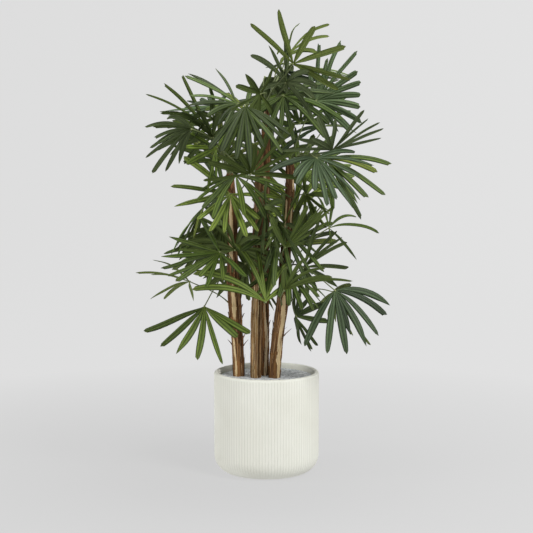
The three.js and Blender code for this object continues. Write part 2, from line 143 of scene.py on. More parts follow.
# One row per frond, from the top down: cane, height of its stalk on the cane, hub, turn, rise
# and roll of the fan, cup, droop, width as a share of BLADE_WIDTH, green, angles of the
# leaflets in the fan and their lengths
FRONDS = [
    ("mid_right", 1178, [59, 67, 1339], 182, 105, 209, -12, 0.76, 0.59, 0, [-100, -68, -32, 16, 29, 51], [163, 197, 184, 191, 188, 167]),
    ("mid_right", 1172, [83, 149, 1322], 52, -2, -2, -5, 0.11, 1, 1, [-64, -44, -11, 15, 38, 64], [199, 204, 231, 214, 202, 191]),
    ("mid_right", 1181, [84, -102, 1318], 300, 43, 42, -4, 0.08, 1, 0, [-68, -34, 0, 32, 66], [188, 211, 179, 208, 194]),
    ("mid_right", 1103, [57, 118, 1299], 37, -31, 13, 2, 0.1, 1, 5, [-55, -40, -15, 11, 30, 68], [184, 224, 204, 201, 180, 168]),
    ("mid_right", 1155, [-5, 89, 1277], 64, -29, 33, -8, 0.66, 1, 3, [-57, -42, -19, 12, 35, 50], [168, 191, 156, 192, 189, 184]),
    ("mid_right", 1171, [63, -34, 1258], 310, 39, 93, -12, 0.53, 1, 3, [-141, -95, -41, 11, 26, 57, 103, 161], [116, 172, 155, 165, 215, 222, 155, 116]),
    ("mid_right", 1182, [-20, -144, 1225], 220, -15, -55, -13, 0.03, 1, 2, [-123, -87, -34, 8, 36, 48, 88], [203, 172, 127, 165, 215, 224, 135]),
    ("mid_right", 1164, [53, -71, 1218], 292, -50, -29, 2, 0.65, 1, 4, [-92, -77, -40, 0, 35, 63, 95], [181, 180, 175, 165, 212, 212, 169]),
    ("right", 988, [158, 5, 1201], 322, 32, -75, -1, 0.24, 1, 5, [-56, -44, -31, -19, -7, 5, 22, 43, 66], [193, 223, 193, 183, 185, 183, 212, 206, 194]),
    ("mid_right", 1182, [-89, -102, 1193], 206, 28, 40, 1, 0.45, 0.92, 3, [-67, -27, -13, 24, 40, 66], [187, 183, 192, 217, 169, 197]),
    ("mid_right", 1112, [-65, -258, 1189], 271, -37, 1, -5, 0.57, 1, 2, [-26, -9, 5, 40, 56], [192, 207, 234, 205, 168]),
    ("mid_right", 1121, [33, 166, 1185], 56, 42, 3, 1, 0.38, 1, 3, [-83, -67, -40, 8, 27, 56, 70, 85], [197, 199, 226, 175, 187, 201, 204, 212]),
    ("mid_right", 1178, [-174, 188, 1183], 111, 20, 14, -11, 0.1, 1, 5, [-65, -32, -12, 9, 36, 54], [166, 198, 206, 217, 217, 171]),
    ("mid_right", 1164, [-67, 57, 1163], 117, 37, 31, -1, 0.59, 1, 1, [-94, -67, -27, 2, 27, 66, 111], [174, 183, 194, 185, 183, 184, 178]),
    ("left", 959, [-173, 70, 1139], 50, 67, 68, 0, 0.65, 1, 4, [-92, -45, 10, 45, 60], [228, 142, 112, 165, 229]),
    ("mid_right", 1182, [109, 122, 1127], 69, 38, 2, 5, 0.15, 1, 4, [-73, -41, -8, 12, 42, 76], [175, 209, 180, 187, 232, 188]),
    ("left", 911, [-194, 35, 1124], 189, 39, -34, 5, 0.35, 1, 1, [-51, -28, -13, 13, 38], [168, 168, 222, 195, 216]),
    ("right", 985, [183, 82, 1119], 99, 44, 2, -17, 0.72, 1, 5, [-55, -24, 23, 39, 70], [167, 235, 211, 172, 177]),
    ("left", 959, [-231, -197, 1118], 198, -7, -34, 4, 0.65, 0.93, 3, [-82, -69, -56, -25, -4, 21, 44, 62], [160, 196, 217, 170, 143, 135, 215, 193]),
    ("mid_left", 904, [-171, -17, 1086], 207, 53, -29, -6, 0.78, 1, 4, [-69, -54, -23, -2, 27, 47, 66], [165, 202, 200, 206, 189, 219, 194]),
    ("right", 997, [202, -169, 1052], 307, 43, -1, 4, 0.14, 0.91, 3, [-84, -68, -42, -26, 1, 41, 57, 73], [206, 199, 235, 164, 192, 171, 180, 182]),
    ("left", 936, [-157, -19, 1052], 239, 6, 65, 2, 0.08, 1, 1, [-17, 1, 16, 46], [163, 184, 232, 205]),
    ("right", 997, [152, -250, 1031], 288, -44, 14, 14, 0.58, 1, 5, [-75, -49, -26, -11, 5, 20, 37, 103], [217, 178, 166, 214, 172, 210, 192, 208]),
    ("right", 986, [182, -143, 1026], 350, -15, -51, -6, 0.52, 0.98, 1, [-63, -37, -16, 0, 23, 36], [177, 230, 184, 222, 175, 226]),
    ("left", 959, [-144, 103, 1008], 97, 66, -7, -1, 0.05, 1, 2, [-75, -60, -41, -24, 1, 21, 38, 54, 74], [178, 176, 185, 185, 180, 181, 188, 177, 178]),
    ("mid_left", 1017, [5, 150, 1008], 67, 50, -21, -7, 0.39, 1, 4, [-105, -78, -51, -23, -3, 33, 62, 84, 100], [173, 204, 211, 199, 225, 223, 203, 192, 176]),
    ("left", 850, [-50, -150, 978], 322, 56, 15, -5, 0.11, 1, 2, [-78, -51, -37, -12, 10, 37, 53, 77], [201, 185, 177, 206, 218, 191, 187, 179]),
    ("left", 957, [-95, -119, 971], 304, -25, -15, 0, 0.57, 1, 1, [-86, -71, -54, -20, 1, 19, 45, 59, 96], [165, 178, 202, 181, 207, 210, 203, 168, 176]),
    ("right", 997, [105, 45, 965], 40, 49, -36, -3, 0.32, 1, 4, [-71, -53, -39, -19, -2, 16, 33, 49, 65], [165, 182, 178, 178, 204, 176, 197, 181, 181]),
    ("left", 937, [-136, 28, 910], 118, 23, 79, -6, 0.03, 1, 4, [-21, -5, 36, 53], [172, 235, 199, 162]),
    ("left", 861, [-114, -108, 912], 240, -36, 16, 12, 0.25, 1, 0, [-114, -77, -49, 5, 39, 60, 104], [213, 189, 186, 195, 235, 176, 166]),
    ("right", 853, [125, -70, 909], 336, -35, 43, -7, 0, 1, 1, [-94, -56, -6, 33, 79, 97], [205, 194, 105, 129, 170, 222]),
    ("mid_right", 885, [-2, -196, 875], 315, -47, 66, -1, 0.48, 1, 4, [-75, -20, 27, 52, 73, 95], [172, 228, 181, 166, 218, 171]),
    ("left", 899, [-207, 145, 853], 146, -33, 20, -6, 0.78, 1, 1, [-91, -72, -43, -27, -5, 23, 45, 71, 96], [169, 169, 180, 164, 194, 197, 193, 202, 169]),
    ("right", 923, [95, 115, 846], 125, 48, 37, 3, 0.37, 1, 0, [-70, -51, -31, -17, 5, 20, 38, 55, 74], [182, 162, 182, 177, 175, 198, 160, 184, 164]),
    ("right", 787, [54, -179, 824], 271, 67, -66, 0, 0.51, 1, 2, [-80, -37, -3, 58, 119], [164, 234, 116, 234, 165]),
    ("mid_right", 869, [50, -63, 806], 306, -44, 2, -12, 0.37, 1, 4, [-79, -44, -30, -11, 9, 24, 46, 70], [179, 185, 222, 199, 209, 182, 203, 171]),
    ("left", 701, [-143, 87, 796], 101, -50, -23, -13, 0.54, 1, 2, [-70, -49, -35, -9, 7, 28, 49, 63], [190, 223, 213, 218, 222, 215, 202, 188]),
    ("right", 616, [202, 23, 793], 30, 8, -58, -10, 0.71, 0.58, 1, [-93, -46, 11, 33, 57, 72], [60, 143, 249, 194, 191, 202]),
    ("right", 664, [57, -173, 752], 321, 44, 0, 5, 0, 1, 1, [-52, -15, 23, 39, 86], [228, 195, 175, 201, 197]),
    ("left", 632, [-145, -156, 734], 201, -17, 23, 6, 0.02, 1, 2, [-97, -56, -21, -2, 12, 27, 69, 89], [223, 189, 184, 198, 200, 216, 165, 213]),
    ("right", 726, [76, 74, 730], 76, 42, -29, 6, 0.22, 1, 2, [-57, -33, -12, 20, 38, 66], [173, 201, 210, 194, 181, 210]),
    ("left", 726, [-99, -46, 730], 243, 60, -4, 4, 0.82, 1, 2, [-96, -69, -55, -16, -1, 25, 59, 79, 103], [165, 188, 191, 193, 184, 188, 190, 175, 168]),
    ("mid_right", 727, [-140, 181, 703], 132, 52, 32, -10, 0.76, 1, 1, [-74, -61, -40, -20, 2, 19, 42, 62, 78], [197, 181, 209, 217, 196, 199, 222, 196, 190]),
    ("right", 693, [-68, 19, 678], 122, -28, -42, 0, 0.51, 1, 2, [-67, -49, -35, -12, 3, 19, 33, 48, 66], [201, 210, 165, 207, 217, 208, 183, 206, 206]),
    ("right", 603, [118, -26, 672], 16, 27, 47, 3, 0.32, 1, 4, [-68, -23, -9, 33, 56, 76], [222, 158, 166, 208, 226, 161]),
    ("left", 856, [65, -50, 672], 309, -20, 9, -11, 0.5, 1, 4, [-71, -47, -33, -18, -3, 13, 32, 46, 65], [180, 153, 181, 195, 192, 199, 179, 142, 185]),
    ("right", 533, [54, -224, 624], 325, 46, 27, -4, 0.66, 1, 1, [-37, -22, -5, 11, 27], [172, 234, 191, 174, 220]),
    ("left", 521, [-250, 40, 617], 166, 5, -34, 11, 0.56, 0.7, 0, [-81, -45, -32, 17, 65], [160, 196, 216, 182, 185]),
    ("right", 665, [215, -137, 611], 322, -39, -44, -7, 1, 1, 5, [-80, -49, -25, 3, 22, 52, 69], [202, 202, 207, 203, 199, 187, 195]),
    ("mid_left", 668, [-2, -186, 581], 205, 67, 85, -17, 0.72, 1, 0, [-77, -57, -43, -28, -14, 20, 32], [140, 221, 209, 189, 218, 253, 240]),
    ("right", 508, [221, 143, 569], 4, -63, 14, -3, 0, 1, 0, [-98, -33, -3, 58], [223, 230, 162, 204]),
    ("left", 641, [-196, -112, 557], 253, -48, 2, -3, 0.01, 1, 0, [-60, -36, -17, 5, 27, 52, 65], [208, 191, 186, 194, 225, 166, 183]),
    ("right", 635, [96, 15, 506], 53, -40, -59, 11, 0, 1, 4, [-123, -80, -36, 27, 44, 83], [189, 147, 120, 210, 227, 170]),
]

# Narrow leaflets between those, by the frond's place in the list from 0: angle and length
MORE_LEAFLETS = {
    0: [(-84, 130), (-50, 190), (42, 128)],
    1: [(-31, 218), (2, 189), (51, 141)],
    2: [(82, 165)],
    3: [(-30, 214)],
    4: [(-33, 174), (-4, 148), (24, 190)],
    5: [(-59, 132), (-24, 132), (38, 218)],
    6: [(-66, 127), (-55, 150), (-20, 120)],
    7: [(-20, 122), (52, 180), (111, 144)],
    8: [(-72, 139), (57, 144), (88, 140)],
    9: [(6, 174), (56, 156)],
    10: [(-42, 192), (26, 158), (72, 168)],
    11: [(-16, 200), (44, 194)],
    12: [(-48, 155), (-2, 180), (25, 156), (76, 145)],
    13: [(-83, 178), (84, 154), (93, 154)],
    14: [(-108, 225), (-61, 120), (31, 120)],
    15: [(-60, 163), (27, 210), (92, 188)],
    16: [(-37, 121)],
    17: [(-5, 223), (51, 148), (86, 177)],
    18: [(-14, 133), (6, 120)],
    19: [(-91, 140), (-42, 171), (10, 198)],
    20: [(-100, 175), (-58, 156), (14, 163)],
    21: [(62, 148)],
    22: [(-59, 142), (81, 150), (125, 177)],
    23: [(-29, 176), (9, 143)],
    24: [(-97, 178), (-9, 131), (90, 128)],
    25: [(-34, 205), (11, 190), (48, 181), (116, 176)],
    26: [(-94, 201), (-67, 193), (-27, 138)],
    27: [(-108, 120)],
    28: [(-87, 120)],
    29: [(9, 225), (22, 199), (75, 162)],
    30: [(-17, 162), (19, 183), (52, 206)],
    31: [(-79, 144), (-26, 127), (20, 120), (48, 129)],
    32: [(-97, 172), (62, 163), (111, 123)],
    33: [(-18, 179), (34, 166), (55, 198)],
    35: [(-66, 164), (-54, 199), (-17, 175)],
    36: [(33, 139)],
    37: [(-25, 155), (36, 209), (79, 160)],
    39: [(-2, 195), (8, 185), (55, 171)],
    40: [(-42, 134), (41, 156), (52, 190)],
    41: [(-43, 187), (-20, 206), (1, 172)],
    42: [(39, 161), (91, 172), (119, 143)],
    43: [(-53, 140), (-7, 149), (30, 179)],
    44: [(-83, 201), (-21, 186)],
    45: [(-50, 190), (92, 161)],
    46: [(-93, 180)],
    48: [(33, 131), (81, 133)],
    49: [(-11, 148)],
    51: [(-77, 223), (34, 132), (74, 173)],
    53: [(-106, 168), (-51, 120), (57, 163), (99, 170)],
}

# How light each frond is as a step of VARY, partly its own tone and partly painted light and shade for how it stands in
# the light, and the fronds with wider leaflets
TONE_WITH_PAINTED_LIGHT = [
    0.6, 1.9, 3.1, 1.3, 4.9, 4.9, 3.6, 1.6, 3.7, 0.3, 0.0, 0.8, 0.7, 1.0, 3.0, 3.1, 1.3, 0.8,
    3.0, 4.9, 2.4, 3.5, 1.0, 1.1, 2.1, 2.9, 3.6, 1.6, 4.0, 1.5, 2.7, 4.9, 4.9, 1.1, 4.2, 4.5,
    2.3, 4.9, 1.0, 4.7, 2.0, 1.0, 4.9, 0.9, 3.4, 0.3, 2.6, 2.6, 1.5, 0.8, 1.7, 1.6, 0.7, 0.4,
]
WIDER = {2: 1.1, 8: 1.06, 10: 1.08, 22: 1.1, 30: 1.08, 49: 1.2, 50: 1.06, 52: 1.22, 53: 1.15}


rng = np.random.default_rng(4127)


# ---------------------------------------------------------------- meshes
class Build:
    """Collects quads and triangles with a material index and two maps, and makes one mesh object."""

    def __init__(self):
        self.verts, self.faces, self.mats, self.uvs, self.bakes = [], [], [], [], []
        self.count = 0

    def add(self, verts, faces, mats, uvs, bakes=None):
        """verts (n,3) in mm; faces (m,4) indices; mats (m,) or one number; uvs (m,4,2)."""
        faces = np.asarray(faces)
        self.base = self.count
        self.verts.append(np.asarray(verts, float))
        self.faces.append(faces + self.base)
        self.mats.append(np.broadcast_to(np.asarray(mats), (len(faces),)).copy())
        uvs = np.asarray(uvs, float)
        self.uvs.append(uvs)
        self.bakes.append(uvs if bakes is None else np.asarray(bakes, float))
        self.count += len(verts)

    def extra(self, verts, faces, mats, uvs, bakes=None):
        """More faces on the last block, numbered from its first point, with the new points after
        its last one. A triangle has -1 as its fourth corner."""
        faces = np.asarray(faces)
        self.verts.append(np.asarray(verts, float))
        self.faces.append(np.where(faces < 0, -1, faces + self.base))
        self.mats.append(np.broadcast_to(np.asarray(mats), (len(faces),)).copy())
        uvs = np.asarray(uvs, float)
        self.uvs.append(uvs)
        self.bakes.append(uvs if bakes is None else np.asarray(bakes, float))
        self.count += len(verts)

    def make(self, name, materials, sharp=None):
        verts = np.concatenate(self.verts) * MM
        faces = np.concatenate(self.faces)
        mats = np.concatenate(self.mats)
        uvs, bakes = np.concatenate(self.uvs), np.concatenate(self.bakes)
        me = bpy.data.meshes.new(name)
        me.vertices.add(len(verts))
        me.vertices.foreach_set("co", verts.astype(np.float32).ravel())
        used = faces >= 0
        sides = used.sum(1)
        me.loops.add(int(sides.sum()))
        me.loops.foreach_set("vertex_index", faces[used].astype(np.int32))
        me.polygons.add(len(faces))
        me.polygons.foreach_set("loop_start", np.r_[0, np.cumsum(sides)[:-1]].astype(np.int32))
        for m in materials:
            me.materials.append(m)
        me.polygons.foreach_set("material_index", mats.astype(np.int32))
        me.update(calc_edges=True)
        for layer, values in (("OFBake", bakes), ("shape", uvs)):
            me.uv_layers.new(name=layer).uv.foreach_set("vector", values[used].astype(np.float32).ravel())
        me.uv_layers.active = me.uv_layers["OFBake"]
        me.polygons.foreach_set("use_smooth", np.ones(len(faces), bool))
        if sharp is not None:
            me.set_sharp_from_angle(angle=math.radians(sharp))
        me.validate()
        ob = bpy.data.objects.new(name, me)
        bpy.context.scene.collection.objects.link(ob)
        return ob


def grid_faces(rows, cols, wrap=False, first=0):
    """Quads of a rows x cols sheet of points, closed across if wrap."""
    r = np.arange(rows - 1)[:, None]
    c = np.arange(cols if wrap else cols - 1)[None, :]
    d = (c + 1) % cols
    a = r * cols + c
    b = r * cols + d
    return first + np.stack([a, b, b + cols, a + cols], -1).reshape(-1, 4)


def grid_uvs(u, v):
    """Corner places for grid_faces from the columns' u (one more than the faces across) and rows' v."""
    u, v = np.asarray(u, float), np.asarray(v, float)
    u0, u1 = np.meshgrid(u[:-1], v[:-1])[0], np.meshgrid(u[1:], v[:-1])[0]
    v0, v1 = np.meshgrid(u[:-1], v[:-1])[1], np.meshgrid(u[:-1], v[1:])[1]
    return np.stack(
        [np.stack([u0, v0], -1), np.stack([u1, v0], -1), np.stack([u1, v1], -1), np.stack([u0, v1], -1)], -2
    ).reshape(-1, 4, 2)


def unit(v):
    v = np.asarray(v, float)
    return v / np.maximum(np.linalg.norm(v, axis=-1, keepdims=True), 1e-9)


def smooth_noise(shape, cells, seed, wrap=(False, False)):
    """Smooth value noise from 0 to 1 on a grid of shape, with cells[0] x cells[1] cells."""
    r = np.random.default_rng(seed)
    h, w = cells
    base = r.random((h + (0 if wrap[0] else 1), w + (0 if wrap[1] else 1)))
    y = np.linspace(0, h, shape[0], endpoint=not wrap[0])
    x = np.linspace(0, w, shape[1], endpoint=not wrap[1])
    y0, x0 = np.minimum(y.astype(int), h - 1), np.minimum(x.astype(int), w - 1)
    fy, fx = y - y0, x - x0
    fy, fx = (fy * fy * (3 - 2 * fy))[:, None], (fx * fx * (3 - 2 * fx))[None, :]
    y1 = (y0 + 1) % h if wrap[0] else y0 + 1
    x1 = (x0 + 1) % w if wrap[1] else x0 + 1
    a, b = base[np.ix_(y0, x0)], base[np.ix_(y0, x1)]
    c, d = base[np.ix_(y1, x0)], base[np.ix_(y1, x1)]
    return (a * (1 - fx) + b * fx) * (1 - fy) + (c * (1 - fx) + d * fx) * fy


# ---------------------------------------------------------------- materials
class Nodes:
    def __init__(self, name, roughness, specular=0.5):
        self.mat = bpy.data.materials.new(name)
        self.mat.use_nodes = True
        self.tree = self.mat.node_tree
        self.tree.nodes.clear()
        self.out = self.tree.nodes.new("ShaderNodeOutputMaterial")
        self.bsdf = self.tree.nodes.new("ShaderNodeBsdfPrincipled")
        self.bsdf.inputs["Roughness"].default_value = roughness
        self.bsdf.inputs["Specular IOR Level"].default_value = specular
        self.link(self.bsdf.outputs[0], self.out.inputs["Surface"])

    def link(self, a, b):
        self.tree.links.new(a, b)

    def node(self, kind, **settings):
        n = self.tree.nodes.new("ShaderNode" + kind)
        for k, v in settings.items():
            setattr(n, k, v)
        return n

    def maths(self, operation, a, b=None, clamp=False):
        n = self.node("Math", operation=operation, use_clamp=clamp)
        for i, x in enumerate((a, b)):
            if x is None:
                continue
            if isinstance(x, (int, float)):
                n.inputs[i].default_value = x
            else:
                self.link(x, n.inputs[i])
        return n.outputs[0]

    def place(self):
        """u and v of the piece's own map."""
        n = self.node("UVMap", uv_map="shape")
        s = self.node("SeparateXYZ")
        self.link(n.outputs[0], s.inputs[0])
        return s.outputs[0], s.outputs[1]

    def xyz(self, x, y, z=0.0):
        n = self.node("CombineXYZ")
        for i, v in enumerate((x, y, z)):
            if isinstance(v, (int, float)):
                n.inputs[i].default_value = v
            else:
                self.link(v, n.inputs[i])
        return n.outputs[0]

    def scaled(self, vector, by):
        n = self.node("VectorMath", operation="MULTIPLY")
        self.link(vector, n.inputs[0])
        n.inputs[1].default_value = by
        return n.outputs[0]

    def noise(self, vector, scale, detail=3.0, roughness=0.55, distortion=0.0):
        n = self.node("TexNoise")
        n.inputs["Scale"].default_value = scale
        n.inputs["Detail"].default_value = detail
        n.inputs["Roughness"].default_value = roughness
        n.inputs["Distortion"].default_value = distortion
        self.link(vector, n.inputs["Vector"])
        return n.outputs["Fac"]

    def cells(self, vector, scale, feature="F1", output="Distance"):
        n = self.node("TexVoronoi", feature=feature)
        n.inputs["Scale"].default_value = scale
        self.link(vector, n.inputs["Vector"])
        return n.outputs[output]

    def ramp(self, factor, stops, mode="LINEAR"):
        n = self.node("ValToRGB")
        n.color_ramp.interpolation = mode
        while len(n.color_ramp.elements) < len(stops):
            n.color_ramp.elements.new(0.5)
        for e, (at, colour) in zip(n.color_ramp.elements, stops):
            e.position = at
            c = (colour,) * 3 if isinstance(colour, (int, float)) else colour
            e.color = (*c, 1)
        self.link(factor, n.inputs["Fac"])
        return n.outputs["Color"]

    def mix(self, a, b, factor, blend="MIX"):
        n = self.node("Mix", data_type="RGBA", blend_type=blend)
        for i, x in ((0, factor), (6, a), (7, b)):
            if isinstance(x, (int, float)):
                n.inputs[i].default_value = x
            elif isinstance(x, tuple):
                n.inputs[i].default_value = (*x, 1)
            else:
                self.link(x, n.inputs[i])
        return n.outputs[2]

    def range(self, value, a0, a1, b0, b1):
        n = self.node("MapRange")
        for i, x in enumerate((a0, a1, b0, b1)):
            n.inputs[i + 1].default_value = x
        self.link(value, n.inputs[0])
        return n.outputs[0]

    def bump(self, height, distance, strength=1.0):
        n = self.node("Bump")
        n.inputs["Strength"].default_value = strength
        n.inputs["Distance"].default_value = distance
        self.link(height, n.inputs["Height"])
        self.link(n.outputs[0], self.bsdf.inputs["Normal"])

    def colour(self, socket):
        self.link(socket, self.bsdf.inputs["Base Color"])

    def rough(self, socket):
        self.link(socket, self.bsdf.inputs["Roughness"])


def leaf_material(name, tint, turn, under=False):
    """Printed cloth leaf: veins along it and paler at its foot. On its upper face a painted highlight lies on the two
    ribs and painted shade in the centre fold and on the turned-down edges; on the underside a painted highlight lies
    along the middle and painted shade under the ribs and at the edges. tint is linear."""
    m = Nodes(name, 0.5, 0.24)
    u, v = m.place()
    across = m.maths("ABSOLUTE", m.maths("SUBTRACT", m.maths("MULTIPLY", u, 2.0), 1.0))
    # Painted highlight and shade of the pleats: pale on the ribs, dark in the centre fold and at the edges, reversed
    # below
    if under:
        painted_fold_light = m.ramp(across, [(0.0, 1.35), (0.09, 1.0), (0.34, 1.0), (0.42, 0.70), (0.5, 1.0), (0.85, 0.92), (1.0, 0.5)])
    else:
        painted_fold_light = m.ramp(across, [(0.0, (0.29, 0.34, 0.22)), (0.08, (0.55, 0.60, 0.48)), (0.17, 1.08), (0.33, 1.05), (0.43, 1.7), (0.53, 1.10), (0.70, 0.96), (0.84, (0.57, 0.62, 0.50)), (1.0, (0.19, 0.24, 0.14))])
    veins = m.noise(m.xyz(m.maths("MULTIPLY", u, 46.0), m.maths("MULTIPLY", v, 2.2)), 1.0, 2.0, 0.6)
    vein_shade = m.ramp(veins, [(0.3, 0.74), (0.7, 1.26)])
    streaks = m.noise(m.xyz(m.maths("MULTIPLY", u, 10.0), m.maths("MULTIPLY", v, 1.7), turn), 1.0, 2.0, 0.5)
    vein_shade = m.mix(vein_shade, m.ramp(streaks, [(0.34, (0.74, 0.78, 0.71)), (0.66, 1.32)]), 1.0, "MULTIPLY")
    blotch = m.noise(m.xyz(m.maths("MULTIPLY", u, 2.0), m.maths("MULTIPLY", v, 9.0), turn), 1.0, 3.0, 0.6)
    blotch_shade = m.ramp(blotch, [(0.3, 0.92), (0.7, 1.08)])
    length = m.ramp(v, [(0.0, (1.5, 1.42, 1.25)), (0.07, (1.16, 1.14, 1.08)), (0.25, 1.0), (0.9, 1.0), (1.0, (0.86, 0.80, 0.78))])
    shade = m.mix(painted_fold_light, vein_shade, 1.0, "MULTIPLY")
    shade = m.mix(shade, blotch_shade, 1.0, "MULTIPLY")
    shade = m.mix(shade, length, 1.0, "MULTIPLY")
    m.colour(m.mix(tint, shade, 1.0, "MULTIPLY"))
    m.rough(m.range(veins, 0.3, 0.7, 0.66 if under else 0.46, 0.8 if under else 0.6))
    m.bump(veins, 0.0006, 0.8)
    return m.mat


def stalk_material(name, tint, tip):
    m = Nodes(name, 0.5, 0.35)
    u, v = m.place()
    grain = m.noise(m.xyz(m.maths("MULTIPLY", u, 9.0), m.maths("MULTIPLY", v, 5.0)), 1.0, 3.0, 0.6)
    base = m.mix(tip, tint, m.ramp(v, [(0.0, 0.0), (0.12, 0.75), (0.3, 1.0)]))
    m.colour(m.mix(base, m.ramp(grain, [(0.3, 0.82), (0.7, 1.18)]), 1.0, "MULTIPLY"))
    m.rough(m.range(grain, 0.3, 0.7, 0.42, 0.62))
    m.bump(grain, 0.0003, 0.5)
    return m.mat


def wrap_vector(m, around, along):
    """A vector that runs round a cane without a seam, with noise stretched along it."""
    u, v = m.place()
    angle = m.maths("MULTIPLY", u, 2 * math.pi)
    return m.xyz(
        m.maths("MULTIPLY", m.maths("COSINE", angle), around),
        m.maths("MULTIPLY", m.maths("SINE", angle), around),
        m.maths("MULTIPLY", v, along),
    )


def fibre_material(name, dark_gap_shade, mid, pale, along=9.0):
    """Coir-like bark: fine strands up the cane, tan on top, with painted shade, near black, in the hollows between
    them.
    """
    m = Nodes(name, 0.85, 0.12)
    fine = m.noise(wrap_vector(m, 8.0, along), 1.0, 5.0, 0.7, 0.25)
    broad = m.noise(wrap_vector(m, 1.7, along * 0.55), 1.0, 3.0, 0.55, 0.6)
    # Painted shade: the low places of the fine noise, which the bump sets back, are near black
    strands = m.ramp(fine, [(0.33, dark_gap_shade), (0.46, mid), (0.57, mid), (0.72, pale)])
    bands = m.noise(wrap_vector(m, 3.3, along * 0.3), 1.0, 2.0, 0.5, 0.3)
    strands = m.mix(strands, m.ramp(bands, [(0.38, (0.42, 0.36, 0.33)), (0.465, 0.92), (0.55, 1.05), (0.64, (1.65, 1.55, 1.38))]), 1.0, "MULTIPLY")
    m.colour(m.mix(strands, m.ramp(broad, [(0.32, (0.66, 0.58, 0.52)), (0.52, 1.0), (0.72, (1.3, 1.24, 1.16))]), 1.0, "MULTIPLY"))
    m.rough(m.range(fine, 0.3, 0.7, 0.95, 0.75))
    m.bump(fine, 0.0018, 0.9)
    return m.mat


def bare_material(name, low, high, along=7.0):
    """Smooth tan cane where the fibre has come away, with long grain and a few dark flecks."""
    m = Nodes(name, 0.6, 0.3)
    grain = m.noise(wrap_vector(m, 9.0, along), 1.0, 4.0, 0.65, 0.2)
    flecks = m.noise(wrap_vector(m, 5.0, along * 4.0), 1.0, 2.0, 0.5)
    base = m.ramp(grain, [(0.3, low), (0.7, high)])
    m.colour(m.mix(base, m.ramp(flecks, [(0.30, (0.45, 0.38, 0.33)), (0.40, 1.0)]), 1.0, "MULTIPLY"))
    m.rough(m.range(grain, 0.3, 0.7, 0.72, 0.5))
    m.bump(grain, 0.0006, 0.7)
    return m.mat


def object_vector(m, by=(1, 1, 1)):
    n = m.node("TexCoord")
    return m.scaled(n.outputs["Object"], by)


def pot_material():
    """Matt cast finish: warm white with a faint cloud and a fine tooth, with painted shade in the grooves between the
    reeds.
    """
    m = Nodes("pot_off_white_cast", 0.62, 0.35)
    cloud = m.noise(object_vector(m), 7.0, 3.0, 0.5)
    tooth = m.noise(object_vector(m), 900.0, 2.0, 0.5)
    base = m.ramp(cloud, [(0.3, (0.785, 0.785, 0.70)), (0.7, (0.835, 0.838, 0.76))])
    u, v = m.place()
    # Painted shade: the grooves between the reeds are darkened, only within the reeded band
    groove = m.maths("ABSOLUTE", m.maths("SINE", m.maths("MULTIPLY", u, math.pi * POT_RIBS)))
    groove_shade_band = m.ramp(v, [(POT_REEDS[0] - 0.02, 0.0), (POT_REEDS[0] + 0.02, 1.0), (POT_REEDS[1] - 0.004, 1.0), (POT_REEDS[1], 0.0)])
    base = m.mix(base, m.mix((1.0, 1.0, 1.0), m.ramp(groove, [(0.0, (0.82, 0.815, 0.80)), (0.5, 1.0)]), groove_shade_band), 1.0, "MULTIPLY")
    m.colour(m.mix(base, m.ramp(tooth, [(0.25, 0.95), (0.75, 1.03)]), 1.0, "MULTIPLY"))
    m.rough(m.range(cloud, 0.3, 0.7, 0.58, 0.72))
    m.bump(tooth, 0.00025, 0.5)
    return m.mat


def topping_material():
    """Pale blue-grey glassy stone chips."""
    m = Nodes("topping_glassy_stone", 0.3, 0.5)
    v = object_vector(m)
    chips = m.cells(v, 150.0, "F1", "Color")
    grey = m.node("RGBToBW")
    m.link(chips, grey.inputs[0])
    tone = m.ramp(grey.outputs[0], [(0.15, (0.46, 0.49, 0.51)), (0.5, (0.68, 0.71, 0.73)), (0.85, (0.87, 0.90, 0.91))])
    veil = m.noise(v, 60.0, 3.0, 0.6)
    m.colour(m.mix(tone, m.ramp(veil, [(0.3, 0.82), (0.7, 1.18)]), 1.0, "MULTIPLY"))
    m.rough(m.range(veil, 0.3, 0.7, 0.18, 0.45))
    m.bump(veil, 0.0008, 0.5)
    return m.mat


# ---------------------------------------------------------------- canes
def cane_at(cane, z):
    """Centre (n,3) and radius (n,) of a cane at heights z."""
    rings = np.array(CANES[cane], float)
    z = np.asarray(z, float)
    at = [np.interp(z, rings[:, 2], rings[:, k]) for k in (0, 1, 3)]
    return np.stack([at[0], at[1], z], -1), at[2]


def on_cane(cane, z, degrees, radius):
    """Points at heights z, at angles to the right of the side that faces the viewer."""
    centre, _ = cane_at(cane, z)
    a = np.radians(degrees)
    return centre + np.stack([np.sin(a) * radius, -np.cos(a) * radius, 0 * a], -1)


def bare_mask(cane, z, a, seed):
    """1 where the fibre is gone, for heights z (rows,1) and angles a (1,cols)."""
    mask = np.zeros(np.broadcast(z, a).shape, bool)
    for i, strip in enumerate(BARE[cane] + BARE_BACK[cane]):
        r = np.random.default_rng(seed * 97 + i)
        heights, lows, highs = np.array(strip, float).T
        z0, z1 = heights[0], heights[-1]
        slow, quick = np.arange(z0 - 40, z1 + 60, 26.0), np.arange(z0 - 40, z1 + 60, 7.0)
        low, high = np.interp(z, heights, lows), np.interp(z, heights, highs)
        half = (high - low) / 2
        low = low + np.interp(z, slow, r.normal(0, 2.4, len(slow))) + np.interp(z, quick, r.normal(0, 0.9, len(quick)))
        high = high + np.interp(z, slow, r.normal(0, 2.4, len(slow))) + np.interp(z, quick, r.normal(0, 0.9, len(quick)))
        ends = np.clip(np.minimum((z - z0) / r.uniform(10, 26), (z1 - z) / r.uniform(10, 26)), 0, 1) ** 0.7
        middle = (low + high) / 2 + half * 0.3 * (1 - ends) * r.choice([-1, 1])
        half = (high - low) / 2 * ends
        off = (a - middle + 180) % 360 - 180
        mask |= (np.abs(off) < half) & (z > z0) & (z < z1)
    return mask


